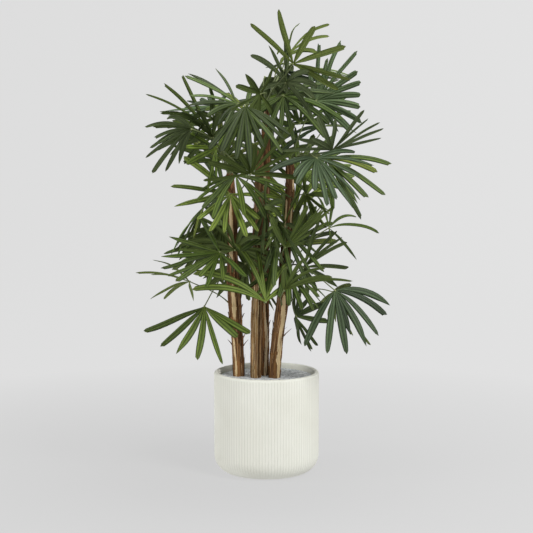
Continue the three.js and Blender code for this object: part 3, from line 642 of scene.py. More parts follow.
def cane_piece(cane, seed, bark, bare):
    rings = CANES[cane]
    z0, z1 = rings[0][2] - 2.0, rings[-1][2] - 2.0
    cols = 88
    rows = int((z1 - z0) / 3.1)
    r = np.random.default_rng(seed)
    a = np.arange(cols) * 360.0 / cols
    z = np.linspace(z0, z1, rows)
    _, radius = cane_at(cane, z)
    length = z1 - z0
    relief = 1.5 * (smooth_noise((rows, cols), (int(length / 95), 15), seed + 1, (False, True)) - 0.5)
    relief += 1.5 * (smooth_noise((rows, cols), (int(length / 60), 30), seed + 2, (False, True)) - 0.5)
    relief += 1.7 * (smooth_noise((rows, cols), (int(length / 26), 44), seed + 3, (False, True)) - 0.5)
    # Overlapping sheaths: each wraps the one inside it and ends in a ragged edge.
    edges, at = [], z0 + r.uniform(20, 50)
    while at < z1 + 60:
        edges.append((at, r.uniform(0, 360), r.uniform(6, 16), r.normal(0, 4.5, 23)))
        at += r.uniform(48, 88)
    below = np.full((rows, cols), z0 - 30.0)
    above = np.full((rows, cols), z1 + 60.0)
    for height, turn, tilt, rag in edges:
        line = height + tilt * np.sin(np.radians(a - turn)) + np.interp(a, np.linspace(0, 360, 24), np.r_[rag, rag[0]])
        line = line[None, :]
        below = np.where(z[:, None] >= line, np.maximum(below, line), below)
        above = np.where(z[:, None] < line, np.minimum(above, line), above)
    share = (z[:, None] - below) / np.maximum(above - below, 1)
    relief += 2.0 * (share - 0.45) * (above - below > 5)
    mask = bare_mask(cane, z[:, None], a[None, :], seed)
    relief = np.where(mask, relief * 0.2 - 0.9, relief)
    slim = np.interp(z, [z0, z0 + 260, z1 - 250, z1], [0.7, 1.2, 1.6, 1.4])
    rr = radius[:, None] - slim[:, None] + relief
    b = Build()
    zz = np.repeat(z[:, None], cols, 1)
    points = on_cane(cane, zz.ravel(), np.tile(a, rows), rr.ravel())
    # The top closes over in ragged points.
    tops = [points]
    torn = r.uniform(0, 1, 13)
    rag = np.interp(a, np.linspace(0, 360, 14), np.r_[torn, torn[0]])
    for k, (shrink, lift) in enumerate(((0.86, 7.0), (0.6, 12.0), (0.3, 10.0))):
        tops.append(on_cane(cane, np.full(cols, z1), a, rr[-1] * shrink) + Z * (lift * (0.4 + rag[:, None] * 1.2)))
    points = np.concatenate(tops)
    last = rows + 3
    faces = grid_faces(last, cols, wrap=True)
    v = np.r_[z, z1 + np.array([6, 12, 18.0])]
    uvs = grid_uvs(np.arange(cols + 1) / cols, (v - z0) / 1000.0)
    bakes = grid_uvs(np.arange(cols + 1) / cols, (v - z0) / (v[-1] - z0))
    centre = mask.astype(int)
    around = np.roll(centre, -1, 1)
    worn = (centre[:-1] + around[:-1] + centre[1:] + around[1:]) >= 3
    mats = np.r_[worn.astype(int).ravel(), np.zeros(3 * cols, int)]
    b.add(points, faces, mats, uvs, bakes)
    # Foot and top are closed with a fan of triangles.
    for new, (ring, z_at, flip) in enumerate(((0, z0, True), (last - 1, z1 + 9.0, False))):
        mid, _ = cane_at(cane, np.array([z_at]))
        k = np.arange(cols)
        n = (k + 1) % cols
        tri = np.stack([ring * cols + (n if flip else k), ring * cols + (k if flip else n), np.full(cols, len(points) + new), np.full(cols, -1)], -1)
        uv = np.zeros((cols, 4, 2))
        vv = 0.0 if flip else (v[-1] - z0) / 1000.0
        uv[:, 0] = np.stack([(n if flip else k) / cols, np.full(cols, vv)], -1)
        uv[:, 1] = np.stack([(k if flip else n) / cols, np.full(cols, vv)], -1)
        uv[:, 2] = np.stack([(k + 0.5) / cols, np.full(cols, vv + (-0.004 if flip else 0.004))], -1)
        both = uv.copy()
        both[..., 1] = 0.002 if flip else 0.998
        both[:, 2, 1] = 0.0 if flip else 1.0
        b.extra(mid, tri, 0, uv, both)
    ob = b.make("cane_" + cane + "_bark", [bark, bare], sharp=52)
    return ob, (z, a, rr, mask)


def strand(b, path, half, side, mat, flat=0.5, sides=4, taper=(0.35, 0.25), uv_at=(0.0, 0.0)):
    """A thin closed strand along path (n,3). side is its wider way at each point (n,3)."""
    n = len(path)
    t = unit(np.gradient(path, axis=0))
    side = unit(side - (side * t).sum(1, keepdims=True) * t)
    out = np.cross(t, side)
    s = np.linspace(0, 1, n)
    w = half * np.minimum(1, np.minimum(taper[0] + (1 - taper[0]) * s / 0.18, taper[1] + (1 - taper[1]) * (1 - s) / 0.3))
    ang = np.arange(sides) * 2 * math.pi / sides
    ring = np.cos(ang)[None, :, None] * side[:, None] + np.sin(ang)[None, :, None] * out[:, None] * flat
    points = (path[:, None] + ring * w[:, None, None]).reshape(-1, 3)
    u = uv_at[0] + np.arange(sides + 1) * 0.03
    v = uv_at[1] + np.r_[0, np.cumsum(np.linalg.norm(np.diff(path, axis=0), axis=1))] / 1000.0
    caps_uv = np.zeros((2, 4, 2))
    caps_uv[:, 1:3] = (0.004, 0.0)
    caps_uv[:, 2:] += (0.0, 0.004)
    caps_uv += (u[0], v[0])
    faces = grid_faces(n, sides, wrap=True)
    b.add(points, faces, mat, grid_uvs(u, v))
    if sides == 4:
        e = (n - 1) * 4
        b.extra(np.zeros((0, 3)), np.array([[3, 2, 1, 0], [e, e + 1, e + 2, e + 3]]) , mat, caps_uv)


def fibres_piece(reliefs, mats):
    """Loose strands that lie along the canes, curl off at some ends, and the broken leaf bases."""
    b = Build()
    for number, cane in enumerate(CANES):
        r = np.random.default_rng(900 + number)
        z, a, rr, mask = reliefs[cane]
        top, foot = z[-1], z[0]

        def surface(zz, aa):
            i = np.clip(((zz - foot) / (top - foot) * (len(z) - 1)).round().astype(int), 0, len(z) - 1)
            j = (np.round(aa / 360 * len(a)).astype(int)) % len(a)
            return rr[i, j], mask[i, j]

        made = 0
        while made < 210:
            long = r.uniform(35, 150)
            start = r.uniform(foot + 2, top - 20)
            end = min(start + long, top + r.uniform(-2, 14))
            n = max(5, int((end - start) / 11))
            zz = np.linspace(start, end, n)
            lean = r.normal(0, 5) * (end - start) / 100
            aa = r.uniform(0, 360) + lean * np.linspace(0, 1, n) + r.normal(0, 1.6) * np.sin(np.linspace(0, 4, n) + r.uniform(0, 6))
            radius, gone = surface(zz, aa)
            if gone.mean() > 0.15:
                if r.random() > 0.06:
                    continue
            made += 1
            radius = np.convolve(np.pad(radius, 1, "edge"), np.ones(3) / 3, "valid") + 0.35
            if r.random() < 0.36:  # its upper end has come away
                radius = radius + r.uniform(1.5, 5.0) * np.clip(np.linspace(-1.6, 1, n), 0, 1) ** 2
            path = on_cane(cane, zz, aa, radius)
            centre, _ = cane_at(cane, zz)
            side = np.cross(path - centre, np.tile(Z, (n, 1)))
            strand(b, path, r.uniform(0.5, 1.5), side, int(r.choice(3, p=[0.40, 0.32, 0.28])), flat=0.6,
                   uv_at=(r.uniform(0, 1), r.uniform(0, 0.5)))
        for _ in range(6):  # fine hairs that stand off the bark
            at, angle = r.uniform(foot + 40, top - 30), r.uniform(0, 360)
            n, reach = 7, r.uniform(10, 24)
            s = np.linspace(0, 1, n)
            radius, _ = surface(np.array([at]), np.array([angle]))
            path = on_cane(cane, at + reach * s * r.uniform(0.5, 1.0), angle + 18 * r.normal() * s * s, radius[0] - 0.5 + reach * 0.55 * s**1.4)
            strand(b, path, 0.42, np.tile([0.3, 0.2, 1.0], (n, 1)), int(r.integers(0, 2)), flat=0.9, taper=(1.0, 0.2),
                   uv_at=(r.uniform(0, 1), r.uniform(0, 0.5)))
        for at, angle, long, wide, lean in STUBS[cane]:
            stub(b, cane, at, angle, long, wide, lean, r)
        for _ in range(5):
            stub(b, cane, r.uniform(foot + 80, top - 120), r.uniform(100, 260), r.uniform(9, 18), r.uniform(5, 8), r.uniform(12, 34), r)
    return b.make("cane_fibres", mats, sharp=60)


def stub(b, cane, at, angle, long, wide, lean, r):
    """The broken base of an old leaf: a flattened tongue that leans off the cane, torn at its tip."""
    _, radius = cane_at(cane, np.array([at]))
    n, cols = 7, 6
    s = np.linspace(0, 1, n)
    up, out = math.cos(math.radians(lean)), math.sin(math.radians(lean))
    path = on_cane(cane, at - 5 + (long + 5) * s * up, np.full(n, float(angle)), radius[0] - 0.6 + (long + 5) * s**1.25 * out)
    an = math.radians(angle)
    side = np.tile([math.cos(an), math.sin(an), 0.0], (n, 1))
    half = wide / 2 * np.interp(s, [0, 0.35, 0.8, 1], [1.15, 0.85, 0.5, 0.22])
    thick = np.interp(s, [0, 1], [1.3, 0.45])
    face = np.cross(unit(np.gradient(path, axis=0)), side)
    u = np.linspace(-1, 1, cols)
    bend = (1 - u * u)[None, :, None] * 0.28 * half[:, None, None] * -face[:, None]
    mid = path[:, None] + u[None, :, None] * half[:, None, None] * side[:, None] + bend
    rag = np.zeros((n, cols))
    rag[-1] = r.uniform(-0.14, 0.1, cols) * long
    mid = mid + rag[..., None] * unit(np.gradient(path, axis=0))[:, None]
    slab(b, mid, np.broadcast_to(face[:, None], mid.shape) * thick[:, None, None], int(r.integers(0, 2)), (r.uniform(0, 1), r.uniform(0, 0.5)))


def slab(b, mid, half, mat, uv_at=(0.0, 0.0), u=None, v=None, mat_under=None, bake=None, bake_under=None):
    """A closed thin sheet: mid (rows,cols,3) is its middle and half the way from there to its upper face."""
    rows, cols = mid.shape[:2]
    top, low = (mid + half).reshape(-1, 3), (mid - half).reshape(-1, 3)
    n = rows * cols
    if u is None:
        u = uv_at[0] + np.linspace(0, 0.12, cols)
        v = uv_at[1] + np.r_[0, np.cumsum(np.linalg.norm(np.diff(mid[:, cols // 2], axis=0), axis=1))] / 1000.0
    up = grid_faces(rows, cols)
    uv = grid_uvs(u, v)
    bake_a = uv if bake is None else bake(uv)
    bake_b = uv if bake_under is None else bake_under(uv)
    under = mat if mat_under is None else mat_under
    faces = [up[:, ::-1], up + n]
    uvs, bakes = [uv[:, ::-1], uv], [bake_a[:, ::-1], bake_b]
    mats = [np.full(len(up), mat), np.full(len(up), under)]
    # The rim: each edge of the upper face is joined to the lower one.
    i = np.arange(rows - 1)
    j = np.arange(cols - 1)
    left = i * cols
    right = left + cols - 1
    first = j
    end = (rows - 1) * cols + j
    pairs = [(left + cols, left), (right, right + cols), (first, first + 1), (end + 1, end)]
    inward = [(0.02, 0.0), (-0.02, 0.0), (0.0, 0.004), (0.0, -0.004)]
    uu, vv = np.tile(u, rows), np.repeat(v, cols)
    for (p, q), (du, dv) in zip(pairs, inward):
        du, dv = du * (u[-1] - u[0]), dv * (v[-1] - v[0])
        faces.append(np.stack([p, q, q + n, p + n], -1))
        a = np.stack([uu[p], vv[p]], -1)
        c = np.stack([uu[q], vv[q]], -1)
        shift = np.array([du, dv])
        rim = np.stack([a, c, c + shift, a + shift], 1)
        uvs.append(rim)
        bakes.append(rim if bake is None else bake(rim))
        mats.append(np.full(len(p), mat))
    b.add(np.concatenate([top, low]), np.concatenate(faces), np.concatenate(mats), np.concatenate(uvs), np.concatenate(bakes))


# ---------------------------------------------------------------- fronds
def fan_axes(turn, rise, roll):
    """Along the middle leaflet, across the fan, and up out of its upper face."""
    a, e, r = np.radians([turn, rise, roll])
    along = np.array([math.cos(e) * math.cos(a), math.cos(e) * math.sin(a), math.sin(e)])
    level = np.array([-math.sin(e) * math.cos(a), -math.sin(e) * math.sin(a), math.cos(e)])
    up = level * math.cos(r) + np.cross(level, along) * math.sin(r)
    return along, np.cross(up, along), up


def in_fan(axes, degrees):
    a = math.radians(degrees)
    return math.cos(a) * axes[0] + math.sin(a) * axes[1]


def centre_line(hub, axes, angle, length, cup, droop, steps=30):
    """A leaflet's centre line: it leaves the hub in the fan, cupped, and droops towards its tip."""
    c = math.radians(cup)
    start = in_fan(axes, angle) * math.cos(c) + math.sin(c) * axes[2]
    s = (np.arange(steps) + 0.5) / steps
    d = unit(start[None] - droop * s[:, None] * Z)
    return np.concatenate([hub[None], hub + np.cumsum(d, axis=0) * length / steps])


def stalk_line(cane, node, hub, axes, angles, n=26):
    """The stalk's curve from inside the cane to the hub, where it comes in through the widest gap."""
    centre, radius = cane_at(cane, np.array([float(node)]))
    a, radius = centre[0], radius[0]
    way = hub - a
    length = np.linalg.norm(way)
    way = way / length
    rise = unit(way * 0.5 + np.array([0, 0, 0.6]))
    t = np.sort(np.array(angles, float))
    gaps = np.diff(np.r_[t, t[0] + 360])
    k = int(np.argmax(gaps))
    start, width = t[k], gaps[k]
    back = unit(-0.6 * way + 0.7 * in_fan(axes, start + width / 2) - 0.15 * axes[2])
    turn = math.degrees(math.atan2(back @ axes[1], back @ axes[0]))
    margin = min(28, width / 2.2)
    rel = (turn - start) % 360
    if rel > width + (360 - width) / 2:
        rel -= 360
    rel = min(max(rel, margin), width - margin)
    dip = min(max(math.asin(min(max(back @ axes[2], -1), 1)), math.radians(-62)), math.radians(15))
    leave = in_fan(axes, start + rel) * math.cos(dip) + math.sin(dip) * axes[2]
    s = np.linspace(0, 1, n)[:, None]
    p1, p2 = a + rise * length * 0.36, hub + leave * length * 0.36
    curve = (1 - s) ** 3 * a + 3 * (1 - s) ** 2 * s * p1 + 3 * (1 - s) * s * s * p2 + s**3 * hub
    return curve, radius, leave


COLUMNS = np.array([-1, -0.74, -0.42, -0.2, 0, 0.2, 0.42, 0.74, 1.0])
PLEAT = np.array([-0.16, 0.0, 0.12, 0.01, -0.05, 0.01, 0.12, 0.0, -0.16])
STATIONS = np.array([0, 0.03, 0.07, 0.13, 0.21, 0.31, 0.42, 0.53, 0.64, 0.74, 0.83, 0.90, 0.95, 1.0])
WIDE_S = [0, 0.04, 0.1, 0.2, 0.35, 0.5, 0.7, 0.86, 0.95, 1]
WIDE_W = [0.15, 0.23, 0.40, 0.66, 0.88, 0.98, 1, 0.95, 0.80, 0.42]
KEEN_S = [0, 0.04, 0.1, 0.2, 0.35, 0.5, 0.62, 0.74, 0.85, 0.93, 1]
KEEN_W = [0.15, 0.23, 0.40, 0.68, 0.92, 1, 1.0, 0.90, 0.63, 0.35, 0.06]
TEETH = np.array([[-10, -5, -1, -4.5, 0, -3.5, -1.5, -7, -11], [-2, 0, -3, -5, -4, -8, -7, -11, -14], [-9, -4, -6, -2, -5, 0, -4, -3, -8.0]])
TINTS = 8


def leaf_slot(tint):
    """The part of the leaf map that this tint's upper faces, or the undersides, share."""
    return lambda uv: np.stack([(tint + 0.03 + 0.94 * uv[..., 0]) / (TINTS + 1), 0.01 + 0.98 * uv[..., 1]], -1)


def leaflet(b, hub, axes, angle, length, cup, droop, width, gaps, r, tint):
    line = centre_line(hub, axes, angle, length, cup + r.normal(0, 1.2), droop * (1 + r.normal(0, 0.05)))
    bow, sway, turn = r.normal(0, 0.011), r.normal(0, 0.012), r.normal(0, 13.0)
    keen = float(r.choice([0.0, 0.15, 0.45, 1.0], p=[0.40, 0.22, 0.22, 0.16]))
    s = STATIONS.copy()
    s[0] = 2.0 / length
    k = np.linspace(0, 1, len(line))
    p = np.stack([np.interp(s, k, line[:, i]) for i in range(3)], -1)
    t = unit(np.stack([np.interp(s, k, np.gradient(line[:, i])) for i in range(3)], -1))
    w = unit(np.cross(axes[2], t))
    n = np.cross(t, w)
    arch = (s * (1 - s) * 4)[:, None]
    p = p + w * arch * bow * length + n * (np.sin(s * 5.2 + r.uniform(0, 6)) * s * (1 - s) * 4)[:, None] * sway * length
    t = unit(np.gradient(p, axis=0))
    tau = np.radians(turn * s)[:, None]
    w, n = w * np.cos(tau) + n * np.sin(tau), n * np.cos(tau) - w * np.sin(tau)
    narrow = r.uniform(0.7, 0.85) if r.random() < 0.1 else r.uniform(0.95, 1.06)
    half = 0.5 * BLADE_WIDTH * width * narrow * ((1 - keen) * np.interp(s, WIDE_S, WIDE_W) + keen * np.interp(s, KEEN_S, KEEN_W))
    reach = s * length
    low, high = [np.minimum(half, 0.5 * reach * math.radians(min(g, 60)) + 0.9) for g in gaps]
    side = np.where(COLUMNS[None] < 0, low[:, None], high[:, None])
    fold = np.tan(np.radians(np.interp(s, [0, 0.12, 0.3, 1], [44, 26, 12, 8])))
    pleat = np.interp(s, [0, 0.1, 0.85, 1], [1.5, 1.15, 0.9, 0.6])
    lift = side * (PLEAT[None] * pleat[:, None] - np.abs(COLUMNS)[None] * fold[:, None])
    mid = p[:, None] + w[:, None] * (COLUMNS[None] * side)[..., None] + n[:, None] * lift[..., None]
    teeth = TEETH[r.integers(0, 3)]
    teeth = teeth[::-1] if r.random() < 0.5 else teeth
    scale = min(1.0, length * 0.07 / 14.5) * (1 - 0.8 * keen) * r.uniform(0.75, 1.05)
    mid[-1] += t[-1][None] * (teeth * scale)[:, None]
    thick = BLADE_THICK / 2 * np.interp(np.abs(COLUMNS), [0, 1], [1.15, 0.7])
    slab(b, mid, n[:, None] * thick[None, :, None], tint, u=(COLUMNS + 1) / 2, v=s, mat_under=TINTS,
         bake=leaf_slot(tint), bake_under=leaf_slot(TINTS))


def ring_solid(b, centre, along, side, other, profile, sides, mat, uv_at=(0, 0), squash=1.0):
    """A small turned knob: profile is (radius, height along) from its foot up, closed at both ends."""
    ang = np.arange(sides) * 2 * math.pi / sides
    circle = np.cos(ang)[:, None] * side + np.sin(ang)[:, None] * other * squash
    points = np.concatenate([centre + circle * rad + along * h for rad, h in profile])
    n = len(profile)
    u = uv_at[0] + np.linspace(0, 0.5, sides + 1)
    v = uv_at[1] + np.linspace(0, 0.12, n)
    b.add(points, grid_faces(n, sides, wrap=True), mat, grid_uvs(u, v))
    k = np.arange(sides)
    nx = (k + 1) % sides
    ends = np.stack([centre + along * (profile[0][1] - 0.3), centre + along * (profile[-1][1] + 0.3)])
    base = n * sides
    tri, uvs = [], []
    for e, (ring, flip) in enumerate(((0, True), (n - 1, False))):
        p, q = (nx, k) if flip else (k, nx)
        tri.append(np.stack([ring * sides + p, ring * sides + q, np.full(sides, base + e), np.full(sides, -1)], -1))
        uv = np.zeros((sides, 4, 2))
        uv[:, 0] = np.stack([u[k], np.full(sides, v[0 if flip else -1])], -1)
        uv[:, 1] = np.stack([u[k + 1], np.full(sides, v[0 if flip else -1])], -1)
        uv[:, 2] = np.stack([(u[k] + u[k + 1]) / 2, np.full(sides, v[0 if flip else -1] + 0.01)], -1)
        uvs.append(uv)
    b.extra(ends, np.concatenate(tri), mat, np.concatenate(uvs))


def stalk(b, cane, curve, radius, hub, axes, leave, r, mat):
    """A thin round stalk, thicker where it leaves the cane, and the knob where the leaflets meet."""
    n = len(curve)
    t = unit(np.gradient(curve, axis=0))
    side = unit(np.cross(t, axes[2] + 0.01))
    other = np.cross(t, side)
    d = np.linalg.norm(curve - curve[0], axis=1)
    thick = np.interp(d, [0, radius, radius + 14, radius + 45, radius + 400], [3.6, 3.6, 2.6, 1.95, 1.7])
    sides = 8
    ang = np.arange(sides) * 2 * math.pi / sides
    ring = np.cos(ang)[None, :, None] * side[:, None] + np.sin(ang)[None, :, None] * other[:, None]
    points = (curve[:, None] + ring * thick[:, None, None]).reshape(-1, 3)
    length = np.r_[0, np.cumsum(np.linalg.norm(np.diff(curve, axis=0), axis=1))]
    u = np.arange(sides + 1) / sides
    v = (length[-1] - length) / max(length[-1], 1)
    b.add(points, grid_faces(n, sides, wrap=True), mat, grid_uvs(u, v))
    fan_a = np.array([[0, 7, 6, 5], [0, 5, 4, 3], [0, 3, 2, 1]])
    fan_b = (n - 1) * sides + fan_a[:, ::-1]
    flat = np.zeros((6, 4, 2))
    flat[:] = np.array([[0.1, 0.1], [0.12, 0.1], [0.12, 0.12], [0.1, 0.12]])
    b.extra(np.zeros((0, 3)), np.concatenate([fan_a, fan_b]), mat, flat)
    knob = [(1.2, -4.6), (2.6, -3.9), (3.6, -1.6), (4.1, 0.2), (3.6, 1.5), (2.2, 2.7), (0.9, 3.1)]
    ring_solid(b, hub, axes[2], unit(leave - (leave @ axes[2]) * axes[2]), np.cross(axes[2], unit(leave - (leave @ axes[2]) * axes[2])), knob, 10, 1, (0.2, 0.0), 0.8)


def strap(b, cane, node, curve, radius, r, relief):
    """The leaf sheath: a tongue of fibre that clasps the cane below the stalk and narrows into it."""
    centre, _ = cane_at(cane, np.array([float(node)]))
    d = curve[10] - centre[0]
    angle = math.degrees(math.atan2(d[0], -d[1]))
    long = r.uniform(20, 38)
    heights, around, _, mask = relief
    off = np.abs((around - angle + 180) % 360 - 180)
    if mask[(heights > node - long) & (heights < node + 6)][:, off < 32].mean() > 0.08:
        return
    rows, cols = 9, 7
    s = np.linspace(0, 1, rows)
    zz = node - long + long * 1.05 * s
    _, rad = cane_at(cane, zz)
    spread = np.interp(s, [0, 0.25, 0.7, 1], [r.uniform(9, 16), r.uniform(22, 32), 20, 9])
    off = np.interp(s, [0, 0.15, 0.8, 1], [-1.2, 0.9, 1.6, 3.2])
    u = np.linspace(-1, 1, cols)
    mid = np.zeros((rows, cols, 3))
    for j in range(cols):
        mid[:, j] = on_cane(cane, zz, angle + u[j] * spread, rad + off - 0.35 * np.abs(u[j]) ** 3)
    mid += Z * (r.normal(0, 2.0, (rows, cols)) * (s[:, None] < 0.3))[..., None]
    centres, _ = cane_at(cane, zz)
    out = unit((mid - centres[:, None]) * np.array([1, 1, 0]))
    slab(b, mid, out * 0.5, int(r.integers(0, 2)), (r.uniform(0, 1), r.uniform(0, 0.5)))


# ---------------------------------------------------------------- planter and topping
def lathe(b, profile, angles, mat, uv_v, u_of=None):
    """profile(k) gives radius (cols,) and height of row k; the piece closes on the axis at both ends."""
    cols = len(angles)
    points = np.concatenate([np.stack([np.cos(angles) * rad, np.sin(angles) * rad, np.full(cols, 0.0) + h], -1) for rad, h in profile])
    rows = len(profile)
    u = np.arange(cols + 1) / cols
    b.add(points, grid_faces(rows, cols, wrap=True), mat, grid_uvs(u, uv_v))
    k = np.arange(cols)
    nx = (k + 1) % cols
    ends = np.array([[0, 0, np.mean(profile[0][1])], [0, 0, np.mean(profile[-1][1])]], float)
    base = rows * cols
    tri, uvs = [], []
    for e, (ring, flip) in enumerate(((0, True), (rows - 1, False))):
        p, q = (nx, k) if flip else (k, nx)
        tri.append(np.stack([ring * cols + p, ring * cols + q, np.full(cols, base + e), np.full(cols, -1)], -1))
        uv = np.zeros((cols, 4, 2))
        v0 = uv_v[0 if flip else -1]
        v1 = v0 - 0.004 if flip else v0 + 0.004
        uv[:, 0] = np.stack([(nx if flip else k) / cols, np.full(cols, v0)], -1)
        uv[:, 1] = np.stack([(k if flip else nx) / cols, np.full(cols, v0)], -1)
        uv[:, 2] = np.stack([(k + 0.5) / cols, np.full(cols, v1)], -1)
        uvs.append(uv)
    b.extra(ends, np.concatenate(tri), mat, np.concatenate(uvs))


def planter(mat):
    """Round pot with close upright reeds that run out on its rounded foot and in the rim's rounding."""
    per = 6
    cols = POT_RIBS * per
    a = np.arange(cols) * 2 * math.pi / cols
    groove = 1 - np.abs(np.sin(POT_RIBS * a / 2))
    rows = []
    inner = POT_RADIUS - POT_BASE_ROUND
    rows.append((np.full(cols, 8.0), 0.0))
    rows.append((np.full(cols, 60.0), 0.0))
    rows.append((np.full(cols, inner - 6), 0.0))
    for deg in np.linspace(-90, 0, 15):
        q = math.radians(deg)
        depth = RIB_DEPTH * min(max((deg + 56) / 26.0, 0), 1)
        rad = inner + POT_BASE_ROUND * math.cos(q)
        rows.append((rad - depth * groove * math.cos(q), POT_BASE_ROUND * (1 + math.sin(q)) + depth * groove * -math.sin(q) * 0.6))
    for z in np.linspace(POT_BASE_ROUND + 14, POT_HEIGHT - POT_RIM_ROUND - 6, 13):
        rows.append((POT_RADIUS - RIB_DEPTH * groove, z))
    middle = POT_RADIUS - POT_RIM_ROUND
    for deg in np.linspace(0, 180, 13):
        q = math.radians(deg)
        around = POT_RIM_ROUND - RIB_DEPTH * groove * min(max((48 - deg) / 48.0, 0), 1)
        rows.append((middle + around * math.cos(q), POT_HEIGHT - POT_RIM_ROUND + around * math.sin(q)))
    for z in (316.0, 300.0, 160.0, POT_FLOOR + 14):
        rows.append((np.full(cols, POT_MOUTH), z))
    rows.append((np.full(cols, POT_MOUTH - 4), POT_FLOOR + 4))
    rows.append((np.full(cols, POT_MOUTH - 14), POT_FLOOR))
    rows.append((np.full(cols, 8.0), POT_FLOOR))
    mean = np.array([[np.mean(q[0]), np.mean(q[1])] for q in rows])
    v = np.r_[0, np.cumsum(np.linalg.norm(np.diff(mean, axis=0), axis=1))]
    b = Build()
    lathe(b, rows, a, 0, 0.006 + 0.988 * v / v[-1])
    return b.make("planter_shell", [mat], sharp=58)


def topping(mat):
    """A bed of glassy chips, a little lower round the wall."""
    r = np.random.default_rng(77)
    edge = POT_MOUTH - 0.6
    cols, rings = 250, 70
    a = np.arange(cols) * 2 * math.pi / cols
    rad = np.r_[np.linspace(3.0, edge - 4, rings), edge - 2.4, edge - 1.0, edge]
    x, y = rad[:, None] * np.cos(a), rad[:, None] * np.sin(a)
    seeds, pitch = [], 8.0
    for i, gy in enumerate(np.arange(-160, 161, pitch * 0.87)):
        for gx in np.arange(-160, 161, pitch):
            seeds.append((gx + (i % 2) * pitch / 2 + r.normal(0, 1.7), gy + r.normal(0, 1.7)))
    seeds = np.array(seeds)
    tall, lean = r.uniform(0.35, 1.0, len(seeds)), r.normal(0, 0.16, (len(seeds), 2))
    h = np.zeros(x.shape)
    for k in range(len(rad)):
        d = (x[k][:, None] - seeds[None, :, 0]) ** 2 + (y[k][:, None] - seeds[None, :, 1]) ** 2
        two = np.argpartition(d, 1, axis=1)[:, :2]
        dd = np.sqrt(np.take_along_axis(d, two, 1))
        first = two[np.arange(cols), dd.argmin(1)]
        gap = np.clip((dd.max(1) - dd.min(1)) / 3.2, 0, 1)
        dx, dy = x[k] - seeds[first, 0], y[k] - seeds[first, 1]
        h[k] = gap**0.6 * (2.1 * tall[first] + dx * lean[first, 0] + dy * lean[first, 1])
    drop = np.interp(rad, [0, edge - 9, edge - 4, edge - 2.4, edge], [0, 0, -1.2, -4.5, -6.0])
    z = FILL_TOP - 1.6 + h * np.interp(rad, [edge - 6, edge - 2], [1, 0.2])[:, None] + drop[:, None]
    rows = [(np.full(cols, 3.0), 296.0), (np.full(cols, edge), 296.0), (np.full(cols, edge), 303.0)]
    rows += [(np.full(cols, rad[k]), z[k]) for k in reversed(range(len(rad)))]
    v = np.linspace(0.01, 0.99, len(rows))
    b = Build()
    lathe(b, rows, a, 0, v)
    ob = b.make("stone_topping", [mat], sharp=50)
    return ob


# ---------------------------------------------------------------- greens
# Tints as linear colours: yellow-green, mid, deep, grey, shade and blue-green. The shaded green is painted shade for
# fronds that stand in shadow, and the grey and blue-green are partly a painted sheen of leaves that face up
GREENS = ["leaf_yellow_green", "leaf_mid_green", "leaf_deep_green", "leaf_grey_green", "leaf_shade_green", "leaf_blue_green"]
LEAF = {
    "leaf_yellow_green": (0.1324, 0.1759, 0.0348),
    "leaf_mid_green": (0.0852, 0.1226, 0.0211),
    "leaf_deep_green": (0.0636, 0.0915, 0.0164),
    "leaf_grey_green": (0.077, 0.1045, 0.0348),
    "leaf_shade_green": (0.0534, 0.0784, 0.0164),
    "leaf_blue_green": (0.0657, 0.0945, 0.0485),
}
# Steps of lightness that the frond tones pick from, partly painted light and shade; the last two are a yellowed and a
# fresh tint
VARY = [(0.37, 0.41, 0.34), (0.67, 0.71, 0.63), (0.95, 0.98, 0.90), (1.26, 1.27, 1.16), (1.61, 1.59, 1.46), (2.04, 2.00, 1.82), (1.34, 1.16, 0.84), (1.00, 1.10, 0.82)]
UNDER = (1.10, 1.06, 1.28)


def times(a, b):
    return tuple(x * y for x, y in zip(a, b))


# ---------------------------------------------------------------- making it
bark = fibre_material("cane_red_brown_fibre", (0.030, 0.015, 0.006), (0.190, 0.100, 0.042), (0.50, 0.33, 0.155))
bark_deep = fibre_material("cane_deep_brown_fibre", (0.024, 0.012, 0.005), (0.148, 0.080, 0.034), (0.42, 0.275, 0.13))
bark_olive = fibre_material("cane_brown_fibre", (0.034, 0.020, 0.009), (0.195, 0.122, 0.056), (0.50, 0.36, 0.19))
bare = bare_material("cane_bare_tan", (0.54, 0.38, 0.175), (0.92, 0.72, 0.43))
# A lighter copy of the bare tan for the mid right cane: painted light on its strip, which lies in the right cane's
# shadow
lit_bare_copy = bare_material("cane_bare_tan_painted_light", (0.76, 0.56, 0.32), (0.95, 0.79, 0.53))
bare_olive = bare_material("cane_bare_olive_tan", (0.33, 0.235, 0.115), (0.62, 0.47, 0.27))
strands = [
    fibre_material("fibre_dark_brown", (0.028, 0.014, 0.009), (0.10, 0.052, 0.029), (0.24, 0.14, 0.08), 4.0),
    fibre_material("fibre_red_brown", (0.06, 0.028, 0.015), (0.21, 0.108, 0.055), (0.40, 0.24, 0.13), 4.0),
    fibre_material("fibre_tan", (0.17, 0.10, 0.052), (0.40, 0.265, 0.145), (0.62, 0.46, 0.28), 4.0),
]

reliefs = {}
for number, cane in enumerate(CANES):
    olive = cane == "mid_left"
    shown = bare_olive if olive else lit_bare_copy if cane == "mid_right" else bare
    piece, reliefs[cane] = cane_piece(cane, 31 + number, bark_olive if olive else bark_deep if cane == "right" else bark, shown)
    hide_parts("cane_" + cane)
    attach(piece, "root")
piece = fibres_piece(reliefs, strands)
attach(piece, "root")

